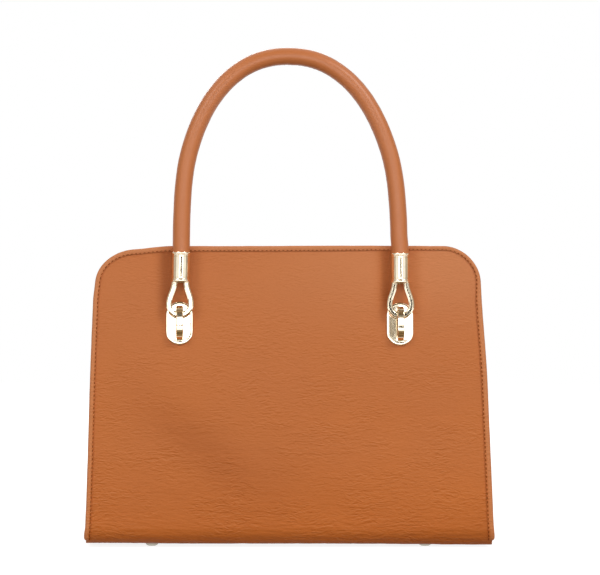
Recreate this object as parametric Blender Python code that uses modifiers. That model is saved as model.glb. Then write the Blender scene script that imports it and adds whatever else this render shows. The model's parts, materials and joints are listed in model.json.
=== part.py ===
"""A structured leather tote bag with two rolled handles on link hardware.

The bag stands on four metal feet. Its front face looks along -Y, +X is its right side as
seen from the front, and +Z is up. The origin is the centre of the base panel's underside.
The front handle leans against the front panel. The rear handle hangs down behind the bag
until its grip lies on the surface that the bag stands on.

A point of a leather face is written (u, v, n): u across the bag, v up the leaning face and
then round the bottom roll, and n outwards from the face. Frame and wrap turn it into XYZ.
"""

import math

import bmesh
import bpy
from mathutils import Matrix, Vector

# Body
BODY_HEIGHT = 0.2335
BASE_WIDTH = 0.3200
TOP_WIDTH = 0.3040
BASE_DEPTH = 0.1160
TOP_DEPTH = 0.0620
CORNER_RADIUS = 0.0330
ROLL_RADIUS = 0.0120
PANEL_LIP = 0.0020

# Sheets
LEATHER = 0.0012
BOARD = 0.0012
LINING = 0.0006
FIT_GAP = 0.0003
SEAM_WIDTH = 0.0053
BINDING_THICKNESS = 0.0009
BINDING_WIDTH = 0.0046
BINDING_ROUND = 0.0010
BINDING_END = math.radians(38)
FACING_HEIGHT = 0.0380

# Gussets
FOLD_DEPTH = 0.0150
GUSSET_DIP = 0.0140
LINING_SIDE_GAP = 0.0012

# Feet
FOOT_RADIUS = 0.0050
FOOT_HEIGHT = 0.0030
FOOT_FLAT_RADIUS = 0.0022
FOOT_SHANK_RADIUS = 0.0013
FOOT_INSET_X = 0.0525
FOOT_INSET_Y = 0.0220
PRONG_LENGTH = 0.0110
PRONG_WIDTH = 0.0026
PRONG_THICKNESS = 0.0005
PRONG_SINK = 0.0001

# Handle anchors
ANCHOR_SPACING = 0.1735
ANCHOR_HEIGHT = 0.1717
PLATE_WIDTH = 0.0212
PLATE_HEIGHT = 0.0342
PLATE_THICKNESS = 0.0016
PLATE_EDGE = 0.0004
BAIL_HEIGHT = 0.0272
BAIL_WIDTH = 0.0056
BAIL_THICKNESS = 0.0028
BAIL_BEND = 0.0032
BAIL_CHAMFER = 0.0007
BACKING_WIDTH = 0.0150
BACKING_HEIGHT = 0.0330
SCREW_RADIUS = 0.0008
SCREW_HEAD_RADIUS = 0.0020
SCREW_LENGTH = 0.0048
SCREW_HEAD_EDGE = 0.0004

# Links and ferrules
LINK_STANDOFF = 0.0066
LINK_DROP = 0.0050
LINK_WIDTH = 0.0040
LINK_THICKNESS = 0.0034
LINK_CHAMFER = 0.0010
LINK_PLAY = 0.0006
LINK_RADIUS = 0.0086
LINK_NECK = 0.0043
LINK_LENGTH = 0.0259
PLUG_LENGTH = 0.0050
FERRULE_LENGTH = 0.0232
FERRULE_RADIUS = 0.0071
FERRULE_WALL = 0.0006
RIM_RADIUS = 0.0076
RIM_HEIGHT = 0.0017
RIM_EDGE = 0.0005

# Handles
HANDLE_RADIUS = 0.0068
HANDLE_LEG = 0.0125
HANDLE_RISE = 0.1434
HANDLE_SQUARENESS = 2.23
HANDLE_SKIVE = 0.0006

# Magnetic snap
SNAP_RADIUS = 0.0090
SNAP_DROP = 0.0200
SNAP_DISC = 0.0014
SOCKET_DEPTH = 0.0028
STUD_RADIUS = 0.0036
STUD_HEIGHT = 0.0024
SOCKET_FLOOR = 0.0008
SNAP_EDGE = 0.0007

# Zipped inner pocket
ZIP_LENGTH = 0.1500
ZIP_SLOT = 0.0080
ZIP_HEIGHT = 0.1560
TAPE_MARGIN = 0.0070
TAPE = 0.0006
TOOTH_PITCH = 0.0040
TOOTH_REACH = 0.0022
TOOTH_PROUD = 0.0016
WELT_WIDTH = 0.0070
WELT = 0.0008
POUCH_DEPTH = 0.0950
POUCH = 0.0010
SLIDER_LENGTH = 0.0100
SLIDER_WIDTH = 0.0074
SLIDER_TOP = 0.0012
SLIDER_EDGE = 0.0003
BRIDGE_HEIGHT = 0.0030
BRIDGE_WIRE = 0.0006
BRIDGE_BEND = 0.0012
PULL_LENGTH = 0.0240
PULL_WIDTH = 0.0064
PULL_THICKNESS = 0.0012
PULL_EYE = 0.0018
PULL_EDGE = 0.0003

# Fineness of curved pieces
CORNER_STEPS = 6
ROLL_STEPS = 5
GUSSET_STEPS = 6
GUSSET_LEVELS = 7
HANDLE_STEPS = 15
ROUND_STEPS = 2
LINK_STEPS = 4
BEND_STEPS = 3
PILL_STEPS = 8
ROUND_SIDES = 14
SMALL_SIDES = 12
SCREW_SIDES = 6
SMOOTH_ANGLE = math.radians(40)
HARD_ANGLE = math.radians(50)

COLLECTION = "tote_bag"
CUTTERS = "cutters"

# Sizes worked out from the ones above
MOUTH_HALF = TOP_DEPTH / 2
ROLL_CENTRE = BASE_DEPTH / 2 - ROLL_RADIUS
REACH = math.hypot(ROLL_CENTRE - MOUTH_HALF, BODY_HEIGHT - ROLL_RADIUS)
LEAN = math.atan2(ROLL_CENTRE - MOUTH_HALF, BODY_HEIGHT - ROLL_RADIUS) + math.asin(
    ROLL_RADIUS / REACH
)
FACE_TOP = BODY_HEIGHT / math.cos(LEAN)
FACE_START = ROLL_RADIUS * (1 + math.sin(LEAN)) / math.cos(LEAN)
ROLL_TURN = math.pi / 2 + LEAN
ROLL_END = FACE_START - ROLL_RADIUS * ROLL_TURN
TAPER = math.atan2((BASE_WIDTH - TOP_WIDTH) / 2, FACE_TOP)
EDGE = BINDING_THICKNESS + FIT_GAP
BOARD_LEVEL = LEATHER + FIT_GAP
INNER_LEVEL = BOARD_LEVEL + BOARD + FIT_GAP
STACK = INNER_LEVEL + LEATHER
WALL_INSET = EDGE + SEAM_WIDTH
FACING_BOTTOM = FACE_TOP - FACING_HEIGHT
ANCHOR_V = ANCHOR_HEIGHT / math.cos(LEAN)
BAIL_INNER = LINK_STANDOFF + LINK_WIDTH / 2 + LINK_PLAY
PIVOT_V = ANCHOR_V + BAIL_HEIGHT / 2 - BAIL_THICKNESS - LINK_DROP
FERRULE_BORE = FERRULE_RADIUS - FERRULE_WALL
LEAN_BACK = math.atan2(RIM_RADIUS, LINK_LENGTH) - math.asin(
    (LINK_STANDOFF - FIT_GAP) / math.hypot(RIM_RADIUS, LINK_LENGTH)
)
GRIP_REACH = LINK_LENGTH + FERRULE_LENGTH + HANDLE_LEG + HANDLE_RISE
LINING_FLOOR = INNER_LEVEL + PRONG_THICKNESS + 2 * FIT_GAP
TAPE_LEVEL = INNER_LEVEL + POUCH + FIT_GAP
REAR_LINING_LEVEL = TAPE_LEVEL + TAPE + FIT_GAP
TEETH_LEVEL = REAR_LINING_LEVEL + LINING + TOOTH_PROUD
ZIP_V = ZIP_HEIGHT / math.cos(LEAN)
TAPE_TOP = ZIP_V + ZIP_SLOT / 2 + TAPE_MARGIN


def new_material(name, colour, roughness, metallic=0.0):
    """A plain Principled material of one colour."""
    made = bpy.data.materials.new(name)
    made.use_nodes = True
    shader = made.node_tree.nodes["Principled BSDF"]
    shader.inputs["Base Color"].default_value = (*colour, 1.0)
    shader.inputs["Roughness"].default_value = roughness
    shader.inputs["Metallic"].default_value = metallic
    made.diffuse_color = (*colour, 1.0)
    return made


def clear_scene():
    """Removes every object, then makes the bag's collection and the cutters' one."""
    for obj in list(bpy.data.objects):
        bpy.data.objects.remove(obj)
    for name in (COLLECTION, CUTTERS):
        bpy.context.scene.collection.children.link(bpy.data.collections.new(name))


def link(obj, material=None):
    """Puts an object in the bag's collection, with its material."""
    bpy.data.collections[COLLECTION].objects.link(obj)
    if material is not None:
        obj.data.materials.clear()
        obj.data.materials.append(material)
    return obj


def as_cutter(obj):
    """Marks a helper that only cuts or joins other pieces."""
    obj.hide_render = True
    obj.display_type = "WIRE"
    for collection in list(obj.users_collection):
        collection.objects.unlink(obj)
    bpy.data.collections[CUTTERS].objects.link(obj)
    return obj


def boolean(obj, other, operation="DIFFERENCE"):
    """Cuts one piece with another, or joins the two."""
    modifier = obj.modifiers.new(operation.title(), "BOOLEAN")
    modifier.operation = operation
    modifier.solver = "EXACT"
    modifier.object = other
    return obj


def mesh_from(name, bm, material, smooth=True):
    """A mesh object made from a bmesh, shaded smooth but for its sharp edges."""
    mesh = bpy.data.meshes.new(name)
    bm.to_mesh(mesh)
    bm.free()
    if smooth:
        mesh.shade_smooth()
        mesh.set_sharp_from_angle(angle=SMOOTH_ANGLE)
    return link(bpy.data.objects.new(name, mesh), material)


def curve_to_mesh(obj):
    """Turns a curve object into a mesh object of the same name, with its caps welded."""
    bpy.context.view_layer.update()
    graph = bpy.context.evaluated_depsgraph_get()
    mesh = bpy.data.meshes.new_from_object(obj.evaluated_get(graph))
    bm = bmesh.new()
    bm.from_mesh(mesh)
    bmesh.ops.remove_doubles(bm, verts=bm.verts, dist=1e-6)
    bmesh.ops.recalc_face_normals(bm, faces=bm.faces)
    bm.to_mesh(mesh)
    bm.free()
    name = obj.name
    matrix = obj.matrix_world.copy()
    material = obj.active_material
    bpy.data.objects.remove(obj)
    made = link(bpy.data.objects.new(name, mesh), material)
    made.matrix_world = matrix
    return made


def flat_plate(name, outline, thickness, material, place):
    """A flat plate from a closed outline, with its underside on its frame's XY plane."""
    curve = bpy.data.curves.new(name, "CURVE")
    curve.dimensions = "2D"
    curve.fill_mode = "BOTH"
    curve.extrude = thickness / 2
    spline = curve.splines.new("POLY")
    spline.points.add(len(outline) - 1)
    for point, (x, y) in zip(spline.points, outline):
        point.co = (x, y, 0, 1)
    spline.use_cyclic_u = True
    obj = link(bpy.data.objects.new(name, curve), material)
    obj.matrix_world = place @ Matrix.Translation((0, 0, thickness / 2))
    return curve_to_mesh(obj)


def bevelled(obj, width):
    """Breaks the sharp edges of a mesh piece."""
    modifier = obj.modifiers.new("Bevel", "BEVEL")
    modifier.width = width
    modifier.segments = 1
    modifier.limit_method = "ANGLE"
    modifier.angle_limit = HARD_ANGLE
    return obj


def tube(name, points, radius, material, resolution=1, shares=None, cyclic=False):
    """A round rod along a list of points, as a curve with a bevel and filled caps."""
    curve = bpy.data.curves.new(name, "CURVE")
    curve.dimensions = "3D"
    curve.bevel_depth = radius
    curve.bevel_resolution = resolution
    curve.use_fill_caps = True
    curve.twist_mode = "MINIMUM"
    spline = curve.splines.new("POLY")
    spline.points.add(len(points) - 1)
    for index, (point, place) in enumerate(zip(spline.points, points)):
        point.co = (*place, 1)
        point.radius = shares[index] if shares else 1.0
    spline.use_cyclic_u = cyclic
    return link(bpy.data.objects.new(name, curve), material)


def strap(name, path, section, material):
    """A bar of a given (across, up) section, bent along a flat path of (x, y) points."""
    outline = bpy.data.curves.new(name + "_section", "CURVE")
    outline.dimensions = "2D"
    outline.fill_mode = "NONE"
    ring = outline.splines.new("POLY")
    ring.points.add(len(section) - 1)
    for point, (x, y) in zip(ring.points, section):
        point.co = (x, y, 0, 1)
    ring.use_cyclic_u = True
    profile = bpy.data.objects.new(name + "_section", outline)
    curve = bpy.data.curves.new(name, "CURVE")
    curve.dimensions = "2D"
    curve.fill_mode = "NONE"
    curve.bevel_mode = "OBJECT"
    curve.bevel_object = profile
    curve.use_fill_caps = True
    spline = curve.splines.new("POLY")
    spline.points.add(len(path) - 1)
    for point, (x, y) in zip(spline.points, path):
        point.co = (x, y, 0, 1)
    made = curve_to_mesh(link(bpy.data.objects.new(name, curve), material))
    bpy.data.objects.remove(profile)
    return made


def turned(name, profile, material, sides=ROUND_SIDES):
    """A turned piece: a profile of (radius, height) points, top to bottom, spun about local Z."""
    mesh = bpy.data.meshes.new(name)
    points = [(radius, 0, height) for radius, height in profile]
    edges = [(i, i + 1) for i in range(len(points) - 1)]
    mesh.from_pydata(points, edges, [])
    obj = link(bpy.data.objects.new(name, mesh), material)
    screw = obj.modifiers.new("Screw", "SCREW")
    screw.steps = sides
    screw.render_steps = sides
    screw.use_merge_vertices = True
    screw.merge_threshold = 1e-6
    screw.use_smooth_shade = True
    return obj


def round_cutter(name, radius, low, high):
    """A cylinder along local Z that cuts a round hole."""
    bm = bmesh.new()
    bmesh.ops.create_cone(
        bm,
        cap_ends=True,
        segments=SMALL_SIDES,
        radius1=radius,
        radius2=radius,
        depth=high - low,
        matrix=Matrix.Translation((0, 0, (high + low) / 2)),
    )
    return as_cutter(mesh_from(name, bm, None, smooth=False))


def block(name, low, high, material):
    """A box between two corners."""
    bm = bmesh.new()
    size = Vector(high) - Vector(low)
    middle = (Vector(high) + Vector(low)) / 2
    place = Matrix.Translation(middle) @ Matrix.Diagonal((*size, 1))
    bmesh.ops.create_cube(bm, size=1, matrix=place)
    return mesh_from(name, bm, material, smooth=False)


def pill(width, height):
    """The outline of a plate with full round ends, taller than it is wide."""
    radius = width / 2
    straight = height / 2 - radius
    points = []
    for end in (1, -1):
        for step in range(PILL_STEPS + 1):
            angle = math.pi * step / PILL_STEPS
            points.append((end * radius * math.cos(angle), end * (straight + radius * math.sin(angle))))
    return points


def face_frame():
    """The front panel's frame: X across, Y up the leaning face and Z outwards from it."""
    start = -MOUTH_HALF - FACE_TOP * math.sin(LEAN)
    place = Matrix.Translation((0, start, 0))
    return place @ Matrix.Rotation(math.pi / 2 - LEAN, 4, "X")


def side_turn(side):
    """Turns a front piece to the rear, where side is 'rear'."""
    return Matrix.Rotation(math.pi if side == "rear" else 0.0, 4, "Z")


def wrap(u, v, n):
    """The place of (u, v, n) on the front leather, which rolls under the bag at its foot."""
    if v >= FACE_START:
        return face_frame() @ Vector((u, v, n))
    centre = Vector((u, -ROLL_CENTRE, ROLL_RADIUS))
    turned_by = min((FACE_START - v) / ROLL_RADIUS, ROLL_TURN)
    angle = ROLL_TURN - turned_by
    outwards = Vector((0, -math.sin(angle), -math.cos(angle)))
    flat = max(0.0, ROLL_END - v)
    return centre + outwards * (ROLL_RADIUS + n) + Vector((0, flat, 0))


def half_width(v, inset=0.0):
    """The face's half-width at v, inset along u from its outline."""
    side = BASE_WIDTH / 2 - v * math.tan(TAPER) - inset / math.cos(TAPER)
    corner_centre = FACE_TOP - CORNER_RADIUS
    radius = CORNER_RADIUS - inset
    tangent = corner_centre + radius * math.sin(TAPER)
    if v <= tangent:
        return side
    centre = corner_u()
    return centre + math.sqrt(max(radius**2 - (v - corner_centre) ** 2, 0.0))


def corner_u():
    """Where the centre of the round top corner lies across the face."""
    side = BASE_WIDTH / 2 * math.cos(TAPER) - CORNER_RADIUS
    return (side - (FACE_TOP - CORNER_RADIUS) * math.sin(TAPER)) / math.cos(TAPER)


def corner_levels(inset=0.0):
    """The heights v of points evenly spread round the top corner."""
    radius = CORNER_RADIUS - inset
    centre = FACE_TOP - CORNER_RADIUS
    turn = math.pi / 2 - TAPER
    angles = [TAPER + turn * i / CORNER_STEPS for i in range(CORNER_STEPS + 1)]
    return [centre + radius * math.sin(angle) for angle in angles]


def roll_levels():
    """The heights v of points evenly spread round the bottom roll, lowest first."""
    return [ROLL_END + (FACE_START - ROLL_END) * i / ROLL_STEPS for i in range(ROLL_STEPS + 1)]


def face_outline(inset, bottom):
    """A closed outline on the flat face with the round top corners, above the given v."""
    right = [(half_width(bottom, inset), bottom)]
    levels = [v for v in corner_levels(inset) if v > bottom]
    right += [(half_width(v, inset), v) for v in levels]
    return right + [(-u, v) for u, v in reversed(right)]


def anchor_frame(u, level=0.0):
    """The frame of a handle anchor, at its centre on the front face."""
    return face_frame() @ Matrix.Translation((u, ANCHOR_V, level))


def make_panel(side, leather):
    """The face leather: a leaning panel that rolls under the bag, with its screw holes."""
    levels = [ROLL_END - PANEL_LIP] + roll_levels() + corner_levels(EDGE)
    bm = bmesh.new()
    rows = []
    for v in levels:
        u = half_width(v, EDGE)
        rows.append([bm.verts.new(wrap(x, v, 0)) for x in (-u, u)])
    for low, high in zip(rows, rows[1:]):
        bm.faces.new((low[0], low[1], high[1], high[0]))
    panel = mesh_from(side + "_panel", bm, leather)
    panel.matrix_world = side_turn(side)
    solid = panel.modifiers.new("Thickness", "SOLIDIFY")
    solid.thickness = LEATHER
    solid.offset = -1
    cut_anchor_holes(panel, side)


def cut_anchor_holes(piece, side):
    """The holes for the four bail legs of one side."""
    for u in (-ANCHOR_SPACING / 2, ANCHOR_SPACING / 2):
        for end in (-1, 1):
            frame = side_turn(side) @ anchor_frame(u)
            leg = Matrix.Translation((0, end * (BAIL_HEIGHT - BAIL_THICKNESS) / 2, 0))
            half = Vector((BAIL_WIDTH / 2 + FIT_GAP, BAIL_THICKNESS / 2 + FIT_GAP, STACK))
            name = f"{piece.name}_leg_hole_{u > 0}_{end}"
            cutter = as_cutter(block(name, -half, half, None))
            cutter.matrix_world = frame @ leg
            boolean(piece, cutter)


def make_board(side, board):
    """The stiffener board behind the face leather, with windows for the backing plates."""
    place = side_turn(side) @ face_frame() @ Matrix.Translation((0, 0, -BOARD_LEVEL - BOARD))
    piece = flat_plate(side + "_board", face_outline(EDGE, FACE_START), BOARD, board, place)
    outline = pill(BACKING_WIDTH + 2 * FIT_GAP, BACKING_HEIGHT + 2 * FIT_GAP)
    for u in (-ANCHOR_SPACING / 2, ANCHOR_SPACING / 2):
        level = side_turn(side) @ anchor_frame(u, -BOARD_LEVEL - 2 * BOARD)
        window = flat_plate(f"{side}_board_window_{u > 0}", outline, 3 * BOARD, None, level)
        boolean(piece, as_cutter(window))
    snap = round_cutter(side + "_board_snap_hole", PRONG_LENGTH / 2 + 2 * FIT_GAP, -STACK, STACK)
    snap.matrix_world = side_turn(side) @ snap_frame()
    boolean(piece, snap)


def make_facing(side, leather):
    """The leather band inside the mouth, which carries one half of the snap."""
    outline = face_outline(EDGE, FACING_BOTTOM)
    place = side_turn(side) @ face_frame() @ Matrix.Translation((0, 0, -STACK))
    piece = flat_plate(side + "_facing", outline, LEATHER, leather, place)
    hole = round_cutter(side + "_facing_hole", FOOT_SHANK_RADIUS + FIT_GAP, -2 * STACK, STACK)
    hole.matrix_world = side_turn(side) @ snap_frame()
    boolean(piece, hole)


def binding_section():
    """The folded strip's section as (inset from the outline, n) points, tip to tip."""
    front = FIT_GAP + BINDING_THICKNESS
    back = -STACK - FIT_GAP - BINDING_THICKNESS
    points = [(BINDING_WIDTH, front)]
    for start, centre_n in ((math.pi / 2, front - BINDING_ROUND), (math.pi, back + BINDING_ROUND)):
        for step in range(ROUND_STEPS + 1):
            angle = start + math.pi / 2 * step / ROUND_STEPS
            across = BINDING_ROUND + BINDING_ROUND * math.cos(angle)
            points.append((across, centre_n + BINDING_ROUND * math.sin(angle)))
    points.append((BINDING_WIDTH, back))
    points.append((BINDING_WIDTH, -STACK - FIT_GAP))
    points.append((BINDING_THICKNESS, -STACK - FIT_GAP))
    points.append((BINDING_THICKNESS, FIT_GAP))
    points.append((BINDING_WIDTH, FIT_GAP))
    return points


def make_binding(side, leather):
    """The leather strip folded over the face's raw edge, up one side and down the other."""
    end = ROLL_END + ROLL_RADIUS * BINDING_END
    levels = [end] + [v for v in roll_levels() if v > end + FIT_GAP]
    section = binding_section()
    path = [("side", v) for v in levels]
    turn = math.pi / 2 - TAPER
    path += [("corner", TAPER + turn * i / CORNER_STEPS) for i in range(CORNER_STEPS + 1)]
    path = [(kind, value, 1) for kind, value in path] + [(kind, value, -1) for kind, value in reversed(path)]
    bm = bmesh.new()
    rings = []
    for kind, value, hand in path:
        ring = []
        for inset, n in section:
            if kind == "side":
                place = (half_width(value, inset), value)
            else:
                radius = CORNER_RADIUS - inset
                centre_v = FACE_TOP - CORNER_RADIUS
                place = (corner_u() + radius * math.cos(value), centre_v + radius * math.sin(value))
            ring.append(bm.verts.new(wrap(hand * place[0], place[1], n)))
        rings.append(ring)
    for first, second in zip(rings, rings[1:]):
        for i in range(len(section)):
            j = (i + 1) % len(section)
            bm.faces.new((first[i], first[j], second[j], second[i]))
    bm.faces.new(rings[0])
    bm.faces.new(rings[-1])
    bmesh.ops.recalc_face_normals(bm, faces=bm.faces)
    mesh_from(side + "_binding", bm, leather).matrix_world = side_turn(side)


def gusset_levels():
    """The heights v of a gusset's rows, from its foot to its top edge."""
    top = FACING_BOTTOM - FIT_GAP
    flat = [FACE_START + (top - FACE_START) * i / GUSSET_LEVELS for i in range(1, GUSSET_LEVELS + 1)]
    return roll_levels() + flat


def fold(share, z):
    """How far the gusset folds inwards, and how far it dips, share of the way across at z."""
    low = ROLL_RADIUS
    high = FACING_BOTTOM * math.cos(LEAN)
    rise = min(max((z - low) / (high - low), 0.0), 1.0)
    shape = (1 + math.cos(math.pi * share)) / 2
    return FOLD_DEPTH * rise * shape, GUSSET_DIP * rise**3 * shape


def wall_row(v, level, inset, rear_level=None):
    """Points across a side wall at v, front to rear, with its edges n = -level from the faces."""
    rear_level = level if rear_level is None else rear_level
    front = wrap(half_width(v, inset), v, -level)
    rear = wrap(half_width(v, inset), v, -rear_level)
    depth = -wrap(0, v, -INNER_LEVEL).y
    row = []
    for step in range(GUSSET_STEPS + 1):
        y = front.y + (-rear.y - front.y) * step / GUSSET_STEPS
        inwards, dip = fold(y / depth, front.z)
        row.append(Vector((front.x - inwards, y, front.z - dip)))
    return row


def make_gusset(hand, leather):
    """One side of the bag: a wall that folds inwards, with a rim sewn to the faces and base."""
    levels = gusset_levels()
    bm = bmesh.new()
    wall = [[bm.verts.new(p) for p in wall_row(v, INNER_LEVEL, WALL_INSET)] for v in levels]
    for low, high in zip(wall, wall[1:]):
        for i in range(GUSSET_STEPS):
            bm.faces.new((low[i], high[i], high[i + 1], low[i + 1]))
    rims = []
    for v in levels:
        edge = wrap(half_width(v, EDGE), v, -INNER_LEVEL)
        rims.append([bm.verts.new(edge), bm.verts.new((edge.x, -edge.y, edge.z))])
    for low, high, rim_low, rim_high in zip(wall, wall[1:], rims, rims[1:]):
        bm.faces.new((rim_low[0], rim_high[0], high[0], low[0]))
        bm.faces.new((low[-1], high[-1], rim_high[1], rim_low[1]))
    foot = [rims[0][0]]
    for vert in wall[0][1:-1]:
        foot.append(bm.verts.new((rims[0][0].co.x, vert.co.y, vert.co.z)))
    foot.append(rims[0][1])
    for i in range(GUSSET_STEPS):
        bm.faces.new((foot[i], wall[0][i], wall[0][i + 1], foot[i + 1]))
    if hand < 0:
        bmesh.ops.scale(bm, vec=(-1, 1, 1), verts=bm.verts)
    bmesh.ops.recalc_face_normals(bm, faces=bm.faces)
    inwards = sum(face.normal.x * face.calc_area() for face in bm.faces) * hand
    if inwards > 0:
        bmesh.ops.reverse_faces(bm, faces=bm.faces)
    piece = mesh_from("left_gusset" if hand < 0 else "right_gusset", bm, leather)
    solid = piece.modifiers.new("Thickness", "SOLIDIFY")
    solid.thickness = LEATHER
    solid.offset = -1
    solid.use_even_offset = True


def make_base(leather, board):
    """The base panel and the board on it, with holes for the feet."""
    half_x = half_width(ROLL_END, EDGE)
    half_y = ROLL_CENTRE - PANEL_LIP - FIT_GAP
    panel = block("base_panel", (-half_x, -half_y, 0), (half_x, half_y, LEATHER), leather)
    stiff = block(
        "base_board",
        (-half_x, -ROLL_CENTRE, BOARD_LEVEL),
        (half_x, ROLL_CENTRE, BOARD_LEVEL + BOARD),
        board,
    )
    for x, y in foot_places():
        hole = round_cutter(f"foot_hole_{x > 0}_{y > 0}", FOOT_SHANK_RADIUS + FIT_GAP, -LEATHER, STACK)
        hole.location = (x, y, 0)
        boolean(panel, hole)
        boolean(stiff, hole)


def foot_places():
    """The centres of the four feet."""
    half_x = BASE_WIDTH / 2 - FOOT_INSET_X
    half_y = BASE_DEPTH / 2 - FOOT_INSET_Y
    return [(x * half_x, y * half_y) for y in (-1, 1) for x in (-1, 1)]


def make_feet(brass):
    """Four domed metal feet, whose prongs are bent flat over the base board."""
    for x, y in foot_places():
        name = f"foot_{'front' if y < 0 else 'rear'}_{'left' if x < 0 else 'right'}"
        top = INNER_LEVEL + PRONG_THICKNESS
        profile = [(0, top), (FOOT_SHANK_RADIUS, top), (FOOT_SHANK_RADIUS, -FIT_GAP)]
        for step in range(BEND_STEPS + 1):
            angle = math.pi / 2 * step / BEND_STEPS
            radius = FOOT_FLAT_RADIUS + (FOOT_RADIUS - FOOT_FLAT_RADIUS) * math.cos(angle)
            profile.append((radius, -FIT_GAP - (FOOT_HEIGHT - FIT_GAP) * math.sin(angle)))
        profile.append((0, -FOOT_HEIGHT))
        foot = turned(name, profile, brass, SMALL_SIDES)
        foot.location = (x, y, 0)
        prongs = block(
            name + "_prongs",
            (-PRONG_LENGTH / 2, -PRONG_WIDTH / 2, INNER_LEVEL),
            (PRONG_LENGTH / 2, PRONG_WIDTH / 2, top - PRONG_SINK),
            None,
        )
        prongs.location = foot.location
        boolean(foot, as_cutter(prongs), "UNION")


def rear_level_at(v):
    """How deep the rear lining lies: it steps out over the pocket and its zip."""
    share = min(max((v - TAPE_TOP) / (FACING_BOTTOM - TAPE_TOP), 0.0), 1.0)
    ease = share * share * (3 - 2 * share)
    return REAR_LINING_LEVEL + (INNER_LEVEL - REAR_LINING_LEVEL) * ease


def make_lining(fabric):
    """The fabric lining: an open-topped bag with a slot for the pocket's zip."""
    inset = WALL_INSET + LINING_SIDE_GAP
    levels = [v for v in gusset_levels() if wrap(0, v, -INNER_LEVEL).z > LINING_FLOOR]
    levels = sorted(levels + [TAPE_TOP, (TAPE_TOP + FACING_BOTTOM) / 2])
    bm = bmesh.new()
    rows = []
    for v in levels:
        right = wall_row(v, INNER_LEVEL, inset, rear_level_at(v))
        left = [Vector((-p.x, p.y, p.z)) for p in reversed(right)]
        rows.append([bm.verts.new(p) for p in right + left])
    foot = [Vector((v.co.x, v.co.y, LINING_FLOOR)) for v in rows[0]]
    rows.insert(0, [bm.verts.new(p) for p in foot])
    count = len(rows[0])
    for lower, upper in zip(rows, rows[1:]):
        for i in range(count):
            j = (i + 1) % count
            bm.faces.new((lower[i], lower[j], upper[j], upper[i]))
    half = GUSSET_STEPS + 1
    for i in range(half - 1):
        mirror = count - 1 - i
        bm.faces.new((rows[0][i], rows[0][i + 1], rows[0][mirror - 1], rows[0][mirror]))
    bmesh.ops.recalc_face_normals(bm, faces=bm.faces)
    piece = mesh_from("lining", bm, fabric)
    solid = piece.modifiers.new("Thickness", "SOLIDIFY")
    solid.thickness = LINING
    solid.offset = -1
    slot = block(
        "lining_zip_slot",
        (-ZIP_LENGTH / 2, -ZIP_SLOT / 2, -3 * STACK),
        (ZIP_LENGTH / 2, ZIP_SLOT / 2, 0),
        None,
    )
    slot.matrix_world = zip_frame()
    boolean(piece, as_cutter(slot))


def anchor_place(side, hand):
    """Where an anchor lies across the front of its own side, named as seen from the front."""
    return ANCHOR_SPACING / 2 * (-1 if (hand == "left") == (side == "front") else 1)


def make_anchor(side, hand, brass, steel):
    """One handle anchor: a plate and a bail outside, a backing plate and two screws inside."""
    name = f"{side}_{hand}"
    frame = side_turn(side) @ anchor_frame(anchor_place(side, hand))
    leg_v = (BAIL_HEIGHT - BAIL_THICKNESS) / 2
    leg_hole = Vector((BAIL_WIDTH / 2 + FIT_GAP, BAIL_THICKNESS / 2 + FIT_GAP, 2 * PLATE_THICKNESS))
    outside = frame @ Matrix.Translation((0, 0, FIT_GAP))
    plate = flat_plate(name + "_plate", pill(PLATE_WIDTH, PLATE_HEIGHT), PLATE_THICKNESS, brass, outside)
    bevelled(plate, PLATE_EDGE)
    for end in (-1, 1):
        cutter = as_cutter(block(f"{name}_plate_hole_{end}", -leg_hole, leg_hole, None))
        cutter.matrix_world = outside @ Matrix.Translation((0, end * leg_v, 0))
        boolean(plate, cutter)
    bail = make_bail(name + "_bail", brass, leg_v)
    bail.matrix_world = frame
    inside = frame @ Matrix.Translation((0, 0, -BOARD_LEVEL - BOARD))
    outline = pill(BACKING_WIDTH, BACKING_HEIGHT)
    backing = flat_plate(name + "_backing_plate", outline, BOARD, steel, inside)
    for end, part in ((1, "upper"), (-1, "lower")):
        place = inside @ Matrix.Translation((0, end * leg_v, 0))
        hole = round_cutter(f"{name}_backing_hole_{part}", SCREW_HEAD_RADIUS + FIT_GAP, -BOARD, 2 * BOARD)
        hole.matrix_world = place
        boolean(backing, hole)
        thread = round_cutter(f"{name}_thread_{part}", SCREW_RADIUS + FIT_GAP, 0, SCREW_LENGTH + FIT_GAP)
        thread.matrix_world = place
        boolean(bail, thread)
        make_screw(f"{name}_screw_{part}", steel).matrix_world = place


def make_screw(name, steel):
    """A countersunk screw, its head down."""
    profile = [
        (0, SCREW_LENGTH),
        (SCREW_RADIUS, SCREW_LENGTH),
        (SCREW_RADIUS, BOARD - FIT_GAP),
        (SCREW_HEAD_RADIUS, SCREW_HEAD_EDGE),
        (SCREW_HEAD_RADIUS, 0),
        (0, 0),
    ]
    return turned(name, profile, steel, SCREW_SIDES)


def make_bail(name, brass, leg_v):
    """The bail: a flat bar bent into a staple, whose legs go through plate, leather and board."""
    top = BAIL_INNER + BAIL_THICKNESS / 2
    path = []
    for end in (-1, 1):
        side = [(end * leg_v, -LEATHER)]
        for step in range(BEND_STEPS + 1):
            angle = math.pi / 2 * step / BEND_STEPS
            v = end * (leg_v - BAIL_BEND + BAIL_BEND * math.cos(angle))
            side.append((v, top - BAIL_BEND + BAIL_BEND * math.sin(angle)))
        path += side if end < 0 else list(reversed(side))
    bail = strap(name, path, bar_section(BAIL_THICKNESS, BAIL_WIDTH, BAIL_CHAMFER), brass)
    bail.data.transform(Matrix(((0, 0, 1, 0), (1, 0, 0, 0), (0, 1, 0, 0), (0, 0, 0, 1))))
    return bail


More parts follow.
